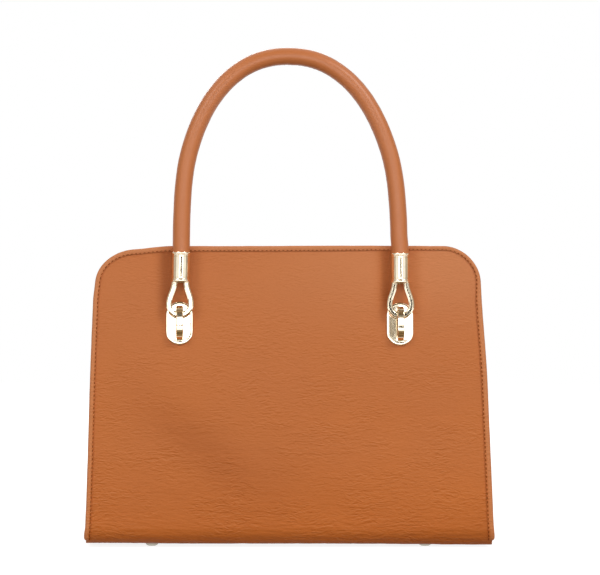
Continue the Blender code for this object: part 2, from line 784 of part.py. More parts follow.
def bar_section(across, up, chamfer):
    """The section of a flat bar with broken edges, as a closed ring of (across, up) points."""
    corner = [(across / 2 - chamfer, up / 2), (across / 2, up / 2 - chamfer)]
    half = corner + [(x, -y) for x, y in reversed(corner)]
    return half + [(-x, -y) for x, y in half]


def pivot_frame(side):
    """The frame on a handle's swing axis: X along the axis, Y up the handle, Z outwards."""
    matrix = side_turn(side) @ face_frame() @ Matrix.Translation((0, PIVOT_V, LINK_STANDOFF))
    matrix = matrix @ Matrix.Rotation(LEAN_BACK, 4, "X")
    if side == "rear":
        matrix = matrix @ Matrix.Rotation(swing_to_floor(), 4, "X")
    return matrix


def swing_to_floor():
    """How far a handle swings outwards until its grip lies on the standing surface."""
    pivot = face_frame() @ Vector((0, PIVOT_V, LINK_STANDOFF))
    drop = pivot.z + FOOT_HEIGHT - HANDLE_RADIUS - FIT_GAP
    hang = math.acos(drop / GRIP_REACH)
    return math.pi + (LEAN - LEAN_BACK) - hang


def link_path():
    """The link's centre line as (x, y) points: a round eye that narrows to two straight arms."""
    right = []
    for step in range(1, LINK_STEPS + 1):
        angle = math.pi / 2 * (step / LINK_STEPS - 1)
        right.append((LINK_RADIUS * math.cos(angle), LINK_RADIUS * (1 + math.sin(angle))))
    for step in range(1, LINK_STEPS + 1):
        share = step / LINK_STEPS
        blend = (1 + math.cos(math.pi * share)) / 2
        height = LINK_RADIUS + (LINK_LENGTH - LINK_RADIUS) * share
        right.append((LINK_NECK + (LINK_RADIUS - LINK_NECK) * blend, height))
    right.append((LINK_NECK, LINK_LENGTH + PLUG_LENGTH / 2))
    left = [(-x, y) for x, y in reversed(right)]
    return left + [(0.0, 0.0)] + right


def make_link(name, brass):
    """The link: a bar with broken edges bent round the bail, closed by the plug in the ferrule."""
    wire = strap(name, link_path(), bar_section(LINK_WIDTH, LINK_THICKNESS, LINK_CHAMFER), brass)
    plug_radius = FERRULE_BORE - FIT_GAP
    plug = turned(
        name + "_plug",
        [
            (0, LINK_LENGTH + PLUG_LENGTH),
            (plug_radius, LINK_LENGTH + PLUG_LENGTH),
            (plug_radius, LINK_LENGTH + FIT_GAP),
            (0, LINK_LENGTH + FIT_GAP),
        ],
        None,
    )
    boolean(wire, as_cutter(plug), "UNION")
    return wire, plug


def handle_line():
    """The grip's centre line, from one ferrule to the other, and each point's radius share."""
    half_span = ANCHOR_SPACING / 2
    inside = LINK_LENGTH + PLUG_LENGTH + FIT_GAP
    mouth = LINK_LENGTH + FERRULE_LENGTH
    spring = mouth + HANDLE_LEG
    thin = (FERRULE_BORE - FIT_GAP) / HANDLE_RADIUS
    right = [(half_span, inside, thin), (half_span, mouth, thin)]
    right += [(half_span, mouth + FIT_GAP, 1.0)]
    for step in range(HANDLE_STEPS):
        angle = math.pi / 2 * step / HANDLE_STEPS
        power = 2 / HANDLE_SQUARENESS
        x = half_span * math.cos(angle) ** power
        y = spring + HANDLE_RISE * math.sin(angle) ** power
        right.append((x, y, 1.0))
    left = [(-x, y, share) for x, y, share in reversed(right)]
    return right + [(0.0, spring + HANDLE_RISE, 1.0)] + left


def make_handle(side, leather, rope, brass):
    """One handle: leather over a rope core, with a ferrule and a link at each end."""
    frame = pivot_frame(side)
    line = handle_line()
    points = [(x, y, 0) for x, y, share in line]
    shares = [share for x, y, share in line]
    cover = curve_to_mesh(tube(side + "_handle_cover", points, HANDLE_RADIUS, leather, 2, shares))
    cover.matrix_world = frame
    bore_radius = FERRULE_BORE - FIT_GAP - HANDLE_SKIVE
    past = [(x, points[0][1] - FERRULE_WALL, 0) for x in (points[0][0], points[-1][0])]
    bore = curve_to_mesh(tube(side + "_handle_bore", [past[0], *points[1:-1], past[1]], bore_radius, None))
    bore.matrix_world = frame
    boolean(cover, as_cutter(bore))
    core = tube(side + "_handle_core", points, bore_radius - FIT_GAP, rope)
    core.matrix_world = frame
    for hand in ("left", "right"):
        place = frame @ Matrix.Translation((anchor_place(side, hand), 0, 0))
        upright = place @ Matrix.Rotation(-math.pi / 2, 4, "X")
        wire, plug = make_link(f"{side}_{hand}_link", brass)
        wire.matrix_world = place
        plug.matrix_world = upright
        turned(f"{side}_{hand}_ferrule", ferrule_profile(), brass).matrix_world = upright


def ferrule_profile():
    """A thin sleeve with a raised rim at each end, as a closed loop of (radius, height)."""
    low = LINK_LENGTH
    high = LINK_LENGTH + FERRULE_LENGTH
    return [
        (FERRULE_BORE, high),
        (RIM_RADIUS - RIM_EDGE, high),
        (RIM_RADIUS, high - RIM_EDGE),
        (RIM_RADIUS, high - RIM_HEIGHT),
        (FERRULE_RADIUS, high - RIM_HEIGHT),
        (FERRULE_RADIUS, low + RIM_HEIGHT),
        (RIM_RADIUS, low + RIM_HEIGHT),
        (RIM_RADIUS, low + RIM_EDGE),
        (RIM_RADIUS - RIM_EDGE, low),
        (FERRULE_BORE, low),
        (FERRULE_BORE, high),
    ]


def snap_frame():
    """The frame of a snap half on the front facing: Z into the bag."""
    place = Matrix.Translation((0, FACE_TOP - SNAP_DROP, -STACK))
    return face_frame() @ place @ Matrix.Rotation(math.pi, 4, "Y")


def make_snap(brass):
    """The two halves of the magnetic snap, riveted to the facings."""
    back = -LEATHER - 2 * FIT_GAP
    rivet = [
        (SNAP_RADIUS, FIT_GAP),
        (FOOT_SHANK_RADIUS, FIT_GAP),
        (FOOT_SHANK_RADIUS, back),
        (STUD_RADIUS, back),
        (STUD_RADIUS, back - PRONG_THICKNESS),
        (0, back - PRONG_THICKNESS),
    ]
    socket = [
        (0, SOCKET_FLOOR),
        (STUD_RADIUS + 2 * FIT_GAP, SOCKET_FLOOR),
        (STUD_RADIUS + 2 * FIT_GAP, SOCKET_DEPTH),
        (SNAP_RADIUS - SNAP_EDGE, SOCKET_DEPTH),
        (SNAP_RADIUS, SOCKET_DEPTH - SNAP_EDGE),
    ]
    stud = [
        (0, SNAP_DISC + STUD_HEIGHT),
        (STUD_RADIUS - SNAP_EDGE, SNAP_DISC + STUD_HEIGHT),
        (STUD_RADIUS, SNAP_DISC + STUD_HEIGHT - SNAP_EDGE),
        (STUD_RADIUS, SNAP_DISC),
        (SNAP_RADIUS - SNAP_EDGE, SNAP_DISC),
        (SNAP_RADIUS, SNAP_DISC - SNAP_EDGE),
    ]
    turned("snap_socket", socket + rivet, brass, SMALL_SIDES).matrix_world = snap_frame()
    turned("snap_stud", stud + rivet, brass, SMALL_SIDES).matrix_world = side_turn("rear") @ snap_frame()


def zip_frame():
    """The frame of the pocket's zip on the rear lining: X along it, Y up, Z out of the bag."""
    return side_turn("rear") @ face_frame() @ Matrix.Translation((0, ZIP_V, 0))


def make_teeth(chain, frame):
    """The closed zip's teeth: a bead along the tape and a row of bars across it."""
    count = int(ZIP_LENGTH / TOOTH_PITCH) - 1
    reach = (count - 1) * TOOTH_PITCH / 2
    root = -TAPE_LEVEL - TAPE / 2
    crown = -TEETH_LEVEL
    low = (-reach, -TOOTH_REACH / 2, crown + TOOTH_PROUD / 2)
    bead = block("zip_bead", low, (reach, TOOTH_REACH / 2, root), None)
    bead.matrix_world = frame
    boolean(chain, as_cutter(bead), "UNION")
    bm = bmesh.new()
    size = Matrix.Diagonal((TOOTH_PITCH / 2, 2 * TOOTH_REACH, root - crown, 1))
    for i in range(count):
        place = Matrix.Translation((i * TOOTH_PITCH - reach, 0, (root + crown) / 2))
        bmesh.ops.create_cube(bm, size=1, matrix=place @ size)
    teeth = as_cutter(mesh_from("zip_teeth", bm, None, smooth=False))
    teeth.matrix_world = frame
    boolean(chain, teeth, "UNION")


def make_pocket(fabric, leather, brass):
    """The zipped pocket: pouch behind the lining, zip tape and teeth, welt, slider and pull."""
    frame = zip_frame()
    tape_half = ZIP_SLOT / 2 + TAPE_MARGIN
    half = ZIP_LENGTH / 2 + TAPE_MARGIN
    pouch = block(
        "pocket_pouch",
        (-half, tape_half - POUCH_DEPTH, -INNER_LEVEL - POUCH),
        (half, tape_half, -INNER_LEVEL),
        fabric,
    )
    pouch.matrix_world = frame
    chain = block(
        "zip_chain",
        (-half, -tape_half + FIT_GAP, -TAPE_LEVEL - TAPE),
        (half, tape_half - FIT_GAP, -TAPE_LEVEL),
        brass,
    )
    chain.matrix_world = frame
    make_teeth(chain, frame)
    welt_level = REAR_LINING_LEVEL + LINING + FIT_GAP
    outer = (ZIP_LENGTH / 2 + WELT_WIDTH, ZIP_SLOT / 2 + WELT_WIDTH)
    welt = block(
        "zip_welt",
        (-outer[0], -outer[1], -welt_level - WELT),
        (outer[0], outer[1], -welt_level),
        leather,
    )
    welt.matrix_world = frame
    window = block(
        "zip_welt_window",
        (-ZIP_LENGTH / 2, -ZIP_SLOT / 2, -welt_level - 2 * WELT),
        (ZIP_LENGTH / 2, ZIP_SLOT / 2, -welt_level + WELT),
        None,
    )
    window.matrix_world = frame
    boolean(welt, as_cutter(window))
    make_slider(frame, brass)


def slider_start():
    """Where the slider stands along the zip when the pocket is closed."""
    return ZIP_LENGTH / 2 - SLIDER_LENGTH / 2 - TOOTH_PITCH


def make_slider(frame, brass):
    """The slider's shell and bridge, and the pull that hangs from the bridge."""
    base = -TEETH_LEVEL - FIT_GAP
    top = base - SLIDER_TOP
    length = SLIDER_LENGTH / 2
    width = SLIDER_WIDTH / 2
    slider = block("zip_slider", (-length, -width, top), (length, width, base), brass)
    start = Matrix.Translation((slider_start(), 0, 0))
    slider.matrix_world = frame @ start
    bevelled(slider, SLIDER_EDGE)
    for hand in (-1, 1):
        inner = TOOTH_REACH + 2 * FIT_GAP
        flange = block(
            f"slider_flange_{hand}",
            (-length + FIT_GAP, hand * inner if hand > 0 else -width + FIT_GAP, top + SLIDER_TOP / 3),
            (length - FIT_GAP, width - FIT_GAP if hand > 0 else -inner, base + TOOTH_PROUD / 2),
            None,
        )
        flange.matrix_world = slider.matrix_world
        boolean(slider, as_cutter(flange), "UNION")
    reach = length - SLIDER_TOP
    crown = top - BRIDGE_HEIGHT
    arch = [
        (-reach, 0, top + SLIDER_TOP / 2),
        (-reach, 0, crown + BRIDGE_BEND),
        (-reach + BRIDGE_BEND, 0, crown),
        (reach - BRIDGE_BEND, 0, crown),
        (reach, 0, crown + BRIDGE_BEND),
        (reach, 0, top + SLIDER_TOP / 2),
    ]
    bridge = curve_to_mesh(tube("slider_bridge", arch, BRIDGE_WIRE, None))
    bridge.matrix_world = slider.matrix_world
    boolean(slider, as_cutter(bridge), "UNION")
    axis = frame @ start @ Matrix.Translation((0, 0, crown))
    upright = Matrix.Translation(axis.translation)
    pull = block(
        "zip_pull",
        (-PULL_WIDTH / 2, -PULL_THICKNESS / 2, -PULL_LENGTH),
        (PULL_WIDTH / 2, PULL_THICKNESS / 2, -PULL_EYE),
        brass,
    )
    pull.matrix_world = upright
    bevelled(pull, PULL_EDGE)
    turns = [2 * math.pi * i / SMALL_SIDES for i in range(SMALL_SIDES)]
    around = [(0, PULL_EYE * math.sin(turn), PULL_EYE * math.cos(turn)) for turn in turns]
    ring = curve_to_mesh(tube("pull_ring", around, BRIDGE_WIRE, None, cyclic=True))
    ring.matrix_world = upright
    boolean(pull, as_cutter(ring), "UNION")


def main():
    """Builds the bag."""
    clear_scene()
    leather = new_material("tan_leather", (0.52, 0.17, 0.06), 0.5)
    board = new_material("stiffener_board", (0.45, 0.36, 0.26), 0.9)
    fabric = new_material("lining_fabric", (0.50, 0.36, 0.24), 0.85)
    rope = new_material("rope_core", (0.75, 0.68, 0.55), 0.9)
    brass = new_material("pale_gold_metal", (0.83, 0.68, 0.42), 0.15, 1.0)
    steel = new_material("steel", (0.55, 0.55, 0.55), 0.35, 1.0)
    for side in ("front", "rear"):
        make_panel(side, leather)
        make_board(side, board)
        make_facing(side, leather)
        make_binding(side, leather)
    for hand in (-1, 1):
        make_gusset(hand, leather)
    make_base(leather, board)
    make_feet(brass)
    make_lining(fabric)
    make_pocket(fabric, leather, brass)
    make_snap(brass)
    for side in ("front", "rear"):
        for hand in ("left", "right"):
            make_anchor(side, hand, brass, steel)
        make_handle(side, leather, rope, brass)


if __name__ == "__main__":
    main()
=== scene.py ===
"""The looks of a structured tan leather tote bag with two rolled handles on drop links.

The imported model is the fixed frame: metres, +Z up, front face towards -Y, origin at the centre
of the base panel's underside. A place on a leather face is written (u, v, n): u across the
face, v up it and round the roll at its foot, and n outwards. BagForm turns that into XYZ.
"""

import json
import logging
import math
from collections.abc import Sequence
from dataclasses import dataclass
from enum import Enum

import bmesh
import bpy
import numpy as np
from mathutils import Matrix, Vector, noise


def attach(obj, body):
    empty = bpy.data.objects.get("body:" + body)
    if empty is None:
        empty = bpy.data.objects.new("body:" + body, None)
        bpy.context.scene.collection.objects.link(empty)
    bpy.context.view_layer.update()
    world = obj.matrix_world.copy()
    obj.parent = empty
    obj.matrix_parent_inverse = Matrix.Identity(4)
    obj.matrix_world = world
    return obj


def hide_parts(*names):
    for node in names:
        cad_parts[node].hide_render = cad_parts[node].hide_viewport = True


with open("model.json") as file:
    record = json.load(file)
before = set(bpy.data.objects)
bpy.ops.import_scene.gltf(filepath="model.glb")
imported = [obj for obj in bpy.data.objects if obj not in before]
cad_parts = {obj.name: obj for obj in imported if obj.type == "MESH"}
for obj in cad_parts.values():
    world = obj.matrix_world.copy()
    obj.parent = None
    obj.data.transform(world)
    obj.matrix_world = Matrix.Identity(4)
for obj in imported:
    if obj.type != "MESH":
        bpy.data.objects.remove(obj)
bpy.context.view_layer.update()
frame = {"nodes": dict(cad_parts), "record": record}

MM = 0.001
WELD = 1e-6
THREAD_SINK = 0.0001
BAG = "bag"
MIRROR = np.array([-1.0, 1.0])
LOG = logging.getLogger("tote_bag")

Points = np.ndarray
Faces = list[tuple[int, ...]]
Line = list[tuple[float, float]]
Colour = tuple[float, float, float]
Material = bpy.types.Material
Socket = bpy.types.NodeSocket


class Side(Enum):
    """The two leather faces of the bag."""

    FRONT = "front"
    REAR = "rear"

    @property
    def turn(self) -> Matrix:
        """The turn about Z that takes a front piece to this side."""
        return Matrix.Rotation(math.pi if self is Side.REAR else 0.0, 4, "Z")

    @property
    def facing(self) -> int:
        """1 where u runs along +X, and -1 where it runs along -X."""
        return -1 if self is Side.REAR else 1


class Hand(Enum):
    """The two ends of a handle, named as the photograph shows them."""

    LEFT = -1
    RIGHT = 1

    @property
    def word(self) -> str:
        """The word that the CAD nodes use for this end."""
        return self.name.lower()


class Slot(Enum):
    """The record's material slots."""

    LEATHER = "tan_leather"
    BOARD = "stiffener_board"
    LINING = "lining_fabric"
    ROPE = "rope_core"
    METAL = "pale_gold_metal"
    STEEL = "steel"


@dataclass(frozen=True)
class BagForm:
    """The sizes of the bag's body, as the solids have them, and the mapping of its faces.

    As in the photograph, the left shoulder droops a little and the two sides are a little unlike.
    """

    height: float = 0.2335
    base_width: float = 0.32
    top_width: float = 0.304
    base_depth: float = 0.116
    top_depth: float = 0.062
    corner: float = 0.0305
    left_droop: float = 0.0033
    left_slope: float = 0.001
    left_spread: float = 0.001
    right_tuck: float = 0.0019
    roll_radius: float = 0.012
    panel_lip: float = 0.002
    leather: float = 0.0012
    board: float = 0.0012
    lining: float = 0.0006
    gap: float = 0.0003
    seam: float = 0.0053
    binding: float = 0.0009
    facing_height: float = 0.038
    fold_depth: float = 0.015
    gusset_dip: float = 0.014
    lining_side_gap: float = 0.0012
    foot_height: float = 0.003
    anchor_spacing: float = 0.1735
    anchor_height: float = 0.1717
    bail_height: float = 0.0272
    bail_thickness: float = 0.0028
    zip_height: float = 0.156
    zip_length: float = 0.15
    zip_slot: float = 0.008
    tape_margin: float = 0.007

    @property
    def roll_centre(self) -> float:
        """How far in front of the middle the roll's centre line lies."""
        return self.base_depth / 2 - self.roll_radius

    @property
    def lean(self) -> float:
        """How far a face leans back from upright, in radians."""
        inwards, rise = self.roll_centre - self.top_depth / 2, self.height - self.roll_radius
        return math.atan2(inwards, rise) + math.asin(self.roll_radius / math.hypot(inwards, rise))

    @property
    def face_top(self) -> float:
        """The height v of the mouth's edge."""
        return self.height / math.cos(self.lean)

    @property
    def face_start(self) -> float:
        """The height v at which the flat face starts above the roll."""
        return self.roll_radius * (1 + math.sin(self.lean)) / math.cos(self.lean)

    @property
    def face_foot(self) -> float:
        """Where the plane of the front face meets the level of the base, along Y."""
        return -self.top_depth / 2 - self.face_top * math.sin(self.lean)

    @property
    def roll_turn(self) -> float:
        """The angle that the leather turns through in the roll."""
        return math.pi / 2 + self.lean

    @property
    def roll_end(self) -> float:
        """The height v at which the roll meets the flat base."""
        return self.face_start - self.roll_radius * self.roll_turn

    @property
    def taper(self) -> float:
        """How far each side of a face leans in, in radians."""
        return math.atan2((self.base_width - self.top_width) / 2, self.face_top)

    @property
    def edge(self) -> float:
        """The inset of the sheets inside the binding's fold."""
        return self.binding + self.gap

    @property
    def board_level(self) -> float:
        """How deep the board's outer side lies under the leather."""
        return self.leather + self.gap

    @property
    def inner_level(self) -> float:
        """How deep the space for gusset, facing and lining starts."""
        return self.board_level + self.board + self.gap

    @property
    def stack(self) -> float:
        """The whole thickness of a wall at its edge."""
        return self.inner_level + self.leather

    @property
    def facing_bottom(self) -> float:
        """The height v of the facings' lower edge."""
        return self.face_top - self.facing_height

    @property
    def anchor_v(self) -> float:
        """The height v of the handle anchors."""
        return self.anchor_height / math.cos(self.lean)

    @property
    def zip_v(self) -> float:
        """The height v of the zip's middle."""
        return self.zip_height / math.cos(self.lean)

    @property
    def corner_u(self) -> float:
        """How far out the centres of the top corners lie."""
        side = self.base_width / 2 * math.cos(self.taper) - self.corner
        return (side - (self.face_top - self.corner) * math.sin(self.taper)) / math.cos(self.taper)

    def face_matrix(self, side: Side) -> Matrix:
        """The frame of one face: X across it, Y up it and Z outwards."""
        foot = Matrix.Translation((0, self.face_foot, 0))
        return side.turn @ foot @ Matrix.Rotation(math.pi / 2 - self.lean, 4, "X")

    def anchor_matrix(self, side: Side, hand: Hand) -> Matrix:
        """The frame of one handle anchor, at its centre on the face."""
        u = side.facing * hand.value * self.anchor_spacing / 2
        return self.face_matrix(side) @ Matrix.Translation((u, self.anchor_v, 0))

    def wrap(self, side: Side, u: Points, v: Points, n: Points) -> Points:
        """Places points of a face, which rolls under the bag at its foot.

        Args:
            side: The face.
            u: Places across the face.
            v: Heights up the face, and on round its roll.
            n: Distances outwards from the leather.

        Returns:
            An array with the XYZ of each point in its last axis.
        """
        u, v, n = np.broadcast_arrays(np.asarray(u, float), v, n)
        sin, cos, out = math.sin(self.lean), math.cos(self.lean), self.roll_radius + n
        angle = self.roll_turn - np.clip((self.face_start - v) / self.roll_radius, 0, self.roll_turn)
        past = np.clip(self.roll_end - v, 0, None)
        flat = v >= self.face_start
        y = np.where(flat, self.face_foot + v * sin - n * cos, -self.roll_centre - np.sin(angle) * out + past)
        z = np.where(flat, v * cos + n * sin, self.roll_radius - np.cos(angle) * out)
        x = side.facing * u
        spread = self.left_spread * ramp(v, 0.03, 0.15) * (1 - ramp(v, 0.19, 0.209)) * ramp(-x, 0.105, 0.14)
        tuck = self.right_tuck * ramp(v, 0.125, 0.205) * ramp(x, 0.095, 0.14)
        high = ramp(v, self.facing_bottom - 0.007, self.face_top)
        droop = self.left_droop * ramp(-x, 0.09, 0.132) + self.left_slope * ramp(-x, -0.07, 0.075)
        return np.stack([x - spread - tuck, side.facing * y, z - droop * high], axis=-1)

    def side_x(self, v: Points, inset: float) -> Points:
        """The distance from the middle to the straight side of a face, at an inset from it."""
        return self.base_width / 2 - v * math.tan(self.taper) - inset / math.cos(self.taper)

    def half_width(self, v: Points, inset: float) -> Points:
        """The distance from the middle of a face to its outline.

        Args:
            v: Heights up the face.
            inset: How far inside the outline.

        Returns:
            The half-width at each height.
        """
        v = np.asarray(v, float)
        centre_v = self.face_top - self.corner
        inner = self.corner - inset
        reach = np.sqrt(np.clip(inner**2 - (v - centre_v) ** 2, 0, None))
        straight = v <= centre_v + inner * math.sin(self.taper)
        return np.where(straight, self.side_x(v, inset), self.corner_u + reach)

    def outline(self, bottom: float, step: float) -> tuple[Points, Points]:
        """The line round a face's edge, from its left foot over the mouth to its right foot.

        Args:
            bottom: The height v at which both ends stop.
            step: The distance between points.

        Returns:
            The (u, v) points, and the unit vectors that point inwards.
        """
        centre = np.array([self.corner_u, self.face_top - self.corner])
        tangent = centre[1] + self.corner * math.sin(self.taper)
        v = np.linspace(bottom, tangent, max(2, round((tangent - bottom) / step)), endpoint=False)
        bends = max(2, round((math.pi / 2 - self.taper) * self.corner / step))
        angle = np.linspace(self.taper, math.pi / 2, bends, endpoint=False)
        u = np.linspace(centre[0], 0.0, round(centre[0] / step), endpoint=False)
        arc = np.stack([np.cos(angle), np.sin(angle)], -1)
        up = np.stack([self.half_width(v, 0.0), v], -1)
        over = np.stack([u, np.full_like(u, self.face_top)], -1)
        right = np.concatenate([up, centre + self.corner * arc, over])
        away = np.concatenate([np.tile(arc[0], (len(v), 1)), arc, np.tile([0.0, 1.0], (len(u), 1))])
        places = np.concatenate([right * MIRROR, [[0.0, self.face_top]], right[::-1]])
        return places, -np.concatenate([away * MIRROR, [[0.0, 1.0]], away[::-1]])


def ramp(value: Points, low: float, high: float) -> Points:
    """A smooth step from 0 at low to 1 at high."""
    share = np.clip((np.asarray(value, float) - low) / (high - low), 0, 1)
    return share * share * (3 - 2 * share)


def bell(away: Points, width: float) -> Points:
    """A smooth bump: 1 where away is 0, and little past the width."""
    return np.exp(-((away / width) ** 2))


def unit(vectors: Points) -> Points:
    """Vectors, one in each row, scaled to length 1."""
    return vectors / np.linalg.norm(vectors, axis=1)[:, None]


def field(places: Points, sizes: Sequence[float], seed: float) -> Points:
    """Smooth noise at many places.

    Args:
        places: An array with two or three coordinates in its last axis.
        sizes: The size of the noise's lumps along each coordinate.
        seed: A shift that gives each use its own pattern.

    Returns:
        Values from about -1 to 1, one for each place.
    """
    flat = (places / np.asarray(sizes)).reshape(-1, places.shape[-1])
    flat = np.column_stack([flat, np.full(len(flat), seed)]) if flat.shape[1] == 2 else flat + seed
    return np.array([noise.noise(point) for point in flat.tolist()]).reshape(places.shape[:-1])


def moved(points: Points, matrix: Matrix) -> Points:
    """Points, with XYZ in the last axis, taken through a matrix."""
    m = np.array(matrix)
    return points @ m[:3, :3].T + m[:3, 3]


def grid_faces(rows: int, columns: int, closed: bool = False, looped: bool = False) -> Faces:
    """The quads of a grid of vertices stored row by row.

    Args:
        rows: The number of rows.
        columns: The number of columns.
        closed: Whether the last column joins the first.
        looped: Whether the last row joins the first.

    Returns:
        The quads as tuples of vertex indices.
    """
    i, j = np.meshgrid(np.arange(columns if closed else columns - 1), np.arange(rows if looped else rows - 1))
    right, above = (i + 1) % columns, (j + 1) % rows * columns
    quads = np.stack([j * columns + i, j * columns + right, above + right, above + i], -1)
    return [tuple(quad) for quad in quads.reshape(-1, 4).tolist()]


def bar_faces(rows: int, count: int) -> Faces:
    """The faces of a bar made of rings of vertices, with both of its ends."""
    last = (rows - 1) * count
    return [*grid_faces(rows, count, True), tuple(range(count)), tuple(range(last + count - 1, last - 1, -1))]


def linked(name: str, data: bpy.types.ID) -> bpy.types.Object:
    """Makes an object and links it to the scene.

    Args:
        name: The object's name.
        data: Its mesh, light or camera.

    Returns:
        The new object.
    """
    obj = bpy.data.objects.new(name, data)
    bpy.context.scene.collection.objects.link(obj)
    return obj


def tidy_mesh(mesh: bpy.types.Mesh, weld: float, open_surface: bool) -> None:
    """Merges doubles and turns the faces of a mesh outwards.

    Args:
        mesh: The mesh to change.
        weld: The distance at which points are merged, or 0 for none.
        open_surface: Whether the surface is open, so that its faces keep the way they were made.
    """
    bm = bmesh.new()
    bm.from_mesh(mesh)
    if weld:
        bmesh.ops.remove_doubles(bm, verts=bm.verts, dist=weld)
        bmesh.ops.dissolve_degenerate(bm, edges=bm.edges, dist=weld)
    if not open_surface:
        bmesh.ops.recalc_face_normals(bm, faces=bm.faces)
    bm.to_mesh(mesh)
    bm.free()


def applied(obj: bpy.types.Object) -> bpy.types.Object:
    """Replaces an object by a plain mesh of what its modifiers make.

    Args:
        obj: The object, which is removed.

    Returns:
        A new object of the same name, at the origin, with no modifiers.
    """
    bpy.context.view_layer.update()
    graph = bpy.context.evaluated_depsgraph_get()
    mesh = bpy.data.meshes.new_from_object(obj.evaluated_get(graph), preserve_all_data_layers=True, depsgraph=graph)
    name = obj.name
    bpy.data.objects.remove(obj)
    mesh.name = name
    return linked(name, mesh)


def set_tone(mesh: bpy.types.Mesh, tone: Points) -> None:
    """Keeps how much lighter or darker the finish is at each point of a mesh."""
    mesh.attributes.new("tone", "FLOAT", "POINT").data.foreach_set("value", tone.astype(np.float32))


def place(obj: bpy.types.Object, body: str, slot: Slot, *nodes: str) -> None:
    """Seats a finished piece: the body that it rides on and what it stands for.

    Args:
        obj: The piece.
        body: The CAD body that it moves with.
        slot: The record's material slot; not used.
        nodes: The CAD nodes that it replaces.
    """
    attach(obj, body)
    if nodes:
        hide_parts(*nodes)
    LOG.info("%s: %d faces, rides on %s", obj.name, len(obj.data.polygons), body)


class Piece:
    """A mesh piece that is being made: its points, its faces and its finish."""

    def __init__(self, name: str, material: Material) -> None:
        """Starts an empty piece.

        Args:
            name: The piece's name.
            material: Its finish.
        """
        self.name, self.material = name, material
        self.points: list[Points] = []
        self.faces: Faces = []
        self.tones: list[Points] = []
        self.count = 0

    def add(self, points: Points, faces: Sequence[tuple[int, ...]], tone: Points | float = 0.0) -> int:
        """Adds points and the faces between them.

        Args:
            points: The new points, in any array shape with XYZ last.
            faces: Faces whose indices count from the first new point.
            tone: How much lighter or darker the finish is at each point.

        Returns:
            The index of the first new point in the piece.
        """
        flat = np.asarray(points, float).reshape(-1, 3)
        first = self.count
        self.points.append(flat)
        self.tones.append(np.broadcast_to(np.asarray(tone, float).reshape(-1), (len(flat),)))
        self.faces += [tuple(first + i for i in face) for face in faces]
        self.count += len(flat)
        return first

    def build(self, sharp: float = 60.0, weld: float = 0.0, thickness: float = 0.0,
              even: bool = True) -> bpy.types.Object:
        """Makes the object, with closed and outward faces.

        Args:
            sharp: The angle in degrees past which an edge stays sharp.
            weld: The distance at which points are merged, or 0 for none.
            thickness: A wall thickness for an open surface, or 0 for a closed one.
            even: Whether the wall keeps its thickness round folds.

        Returns:
            The new object, linked to the scene.
        """
        mesh = bpy.data.meshes.new(self.name)
        mesh.from_pydata(np.concatenate(self.points), [], self.faces)
        set_tone(mesh, np.concatenate(self.tones))
        mesh.materials.append(self.material)
        obj = linked(self.name, mesh)
        if weld or not thickness:
            tidy_mesh(mesh, weld, bool(thickness))
        if thickness:
            wall = obj.modifiers.new("Wall", "SOLIDIFY")
            wall.thickness, wall.offset, wall.use_even_offset = thickness, -1, even
            obj = applied(obj)
        obj.data.shade_smooth()
        obj.data.set_sharp_from_angle(angle=math.radians(sharp))
        return obj


def turned_shape(profile: Line, sides: int) -> tuple[Points, Faces]:
    """A closed turned shape about local Z.

    Args:
        profile: The (radius, height) points from one pole to the other, or a closed ring.
        sides: The number of sides.

    Returns:
        Its points and its faces.
    """
    angles = 2 * math.pi * np.arange(sides) / sides
    ring = [(r, h) for r, h in profile if r > 0]
    points = [(r * math.cos(a), r * math.sin(a), h) for r, h in ring for a in angles]
    if profile[0][0] > 0:
        return np.array(points), grid_faces(len(ring), sides, True, True)
    faces = grid_faces(len(ring), sides, True)
    for pole, row, way in ((profile[0], 0, -1), (profile[-1], len(ring) - 1, 1)):
        for i in range(sides):
            pair = (row * sides + i, row * sides + (i + 1) % sides)
            faces.append((len(points), *pair[::way]))
        points.append((0.0, 0.0, pole[1]))
    return np.array(points), faces


def rounded(points: Line, radius: float, steps: int, closed: bool, hold: float = 1.0) -> Line:
    """A line of straight runs with its corners rounded by arcs.

    Args:
        points: The corners.
        radius: The arcs' radius, less where a run is too short for it.
        steps: The number of steps in each arc.
        closed: Whether the line is a ring.
        hold: Above 1, a further point on each side of an arc keeps the straight runs flat.

    Returns:
        The rounded line.
    """
    made: Line = []
    count = len(points)
    for i, point in enumerate(points):
        here = np.array(point, float)
        if not closed and i in (0, count - 1):
            made.append(tuple(here))
            continue
        before = np.array(points[i - 1], float) - here
        after = np.array(points[(i + 1) % count], float) - here
        cut = min(radius, 0.49 * float(np.hypot(*before)), 0.49 * float(np.hypot(*after)))
        start = here + before / np.hypot(*before) * cut
        end = here + after / np.hypot(*after) * cut
        arc = [(1 - t) ** 2 * start + 2 * t * (1 - t) * here + t**2 * end for t in np.linspace(0, 1, steps + 1)]
        if hold > 1:
            arc = [here + (start - here) * hold, *arc, here + (end - here) * hold]
        made += [tuple(bend) for bend in arc]
    return made


def swept(line: Points, section: Line) -> tuple[Points, Faces]:
    """A bar of one section along a flat line, with its ends closed.

    Args:
        line: The (x, y) points of the line.
        section: The ring of (across, up) points: across lies in the line's plane and up along Z.

    Returns:
        Its points and its faces.
    """
    tangent = unit(np.gradient(line, axis=0))
    across = np.stack([tangent[:, 1], -tangent[:, 0]], -1)
    ring = np.array(section)
    xy = line[:, None, :] + ring[None, :, 0, None] * across[:, None, :]
    z = np.broadcast_to(ring[None, :, 1, None], (len(line), len(ring), 1))
    return np.concatenate([xy, z], -1), bar_faces(len(line), len(ring))


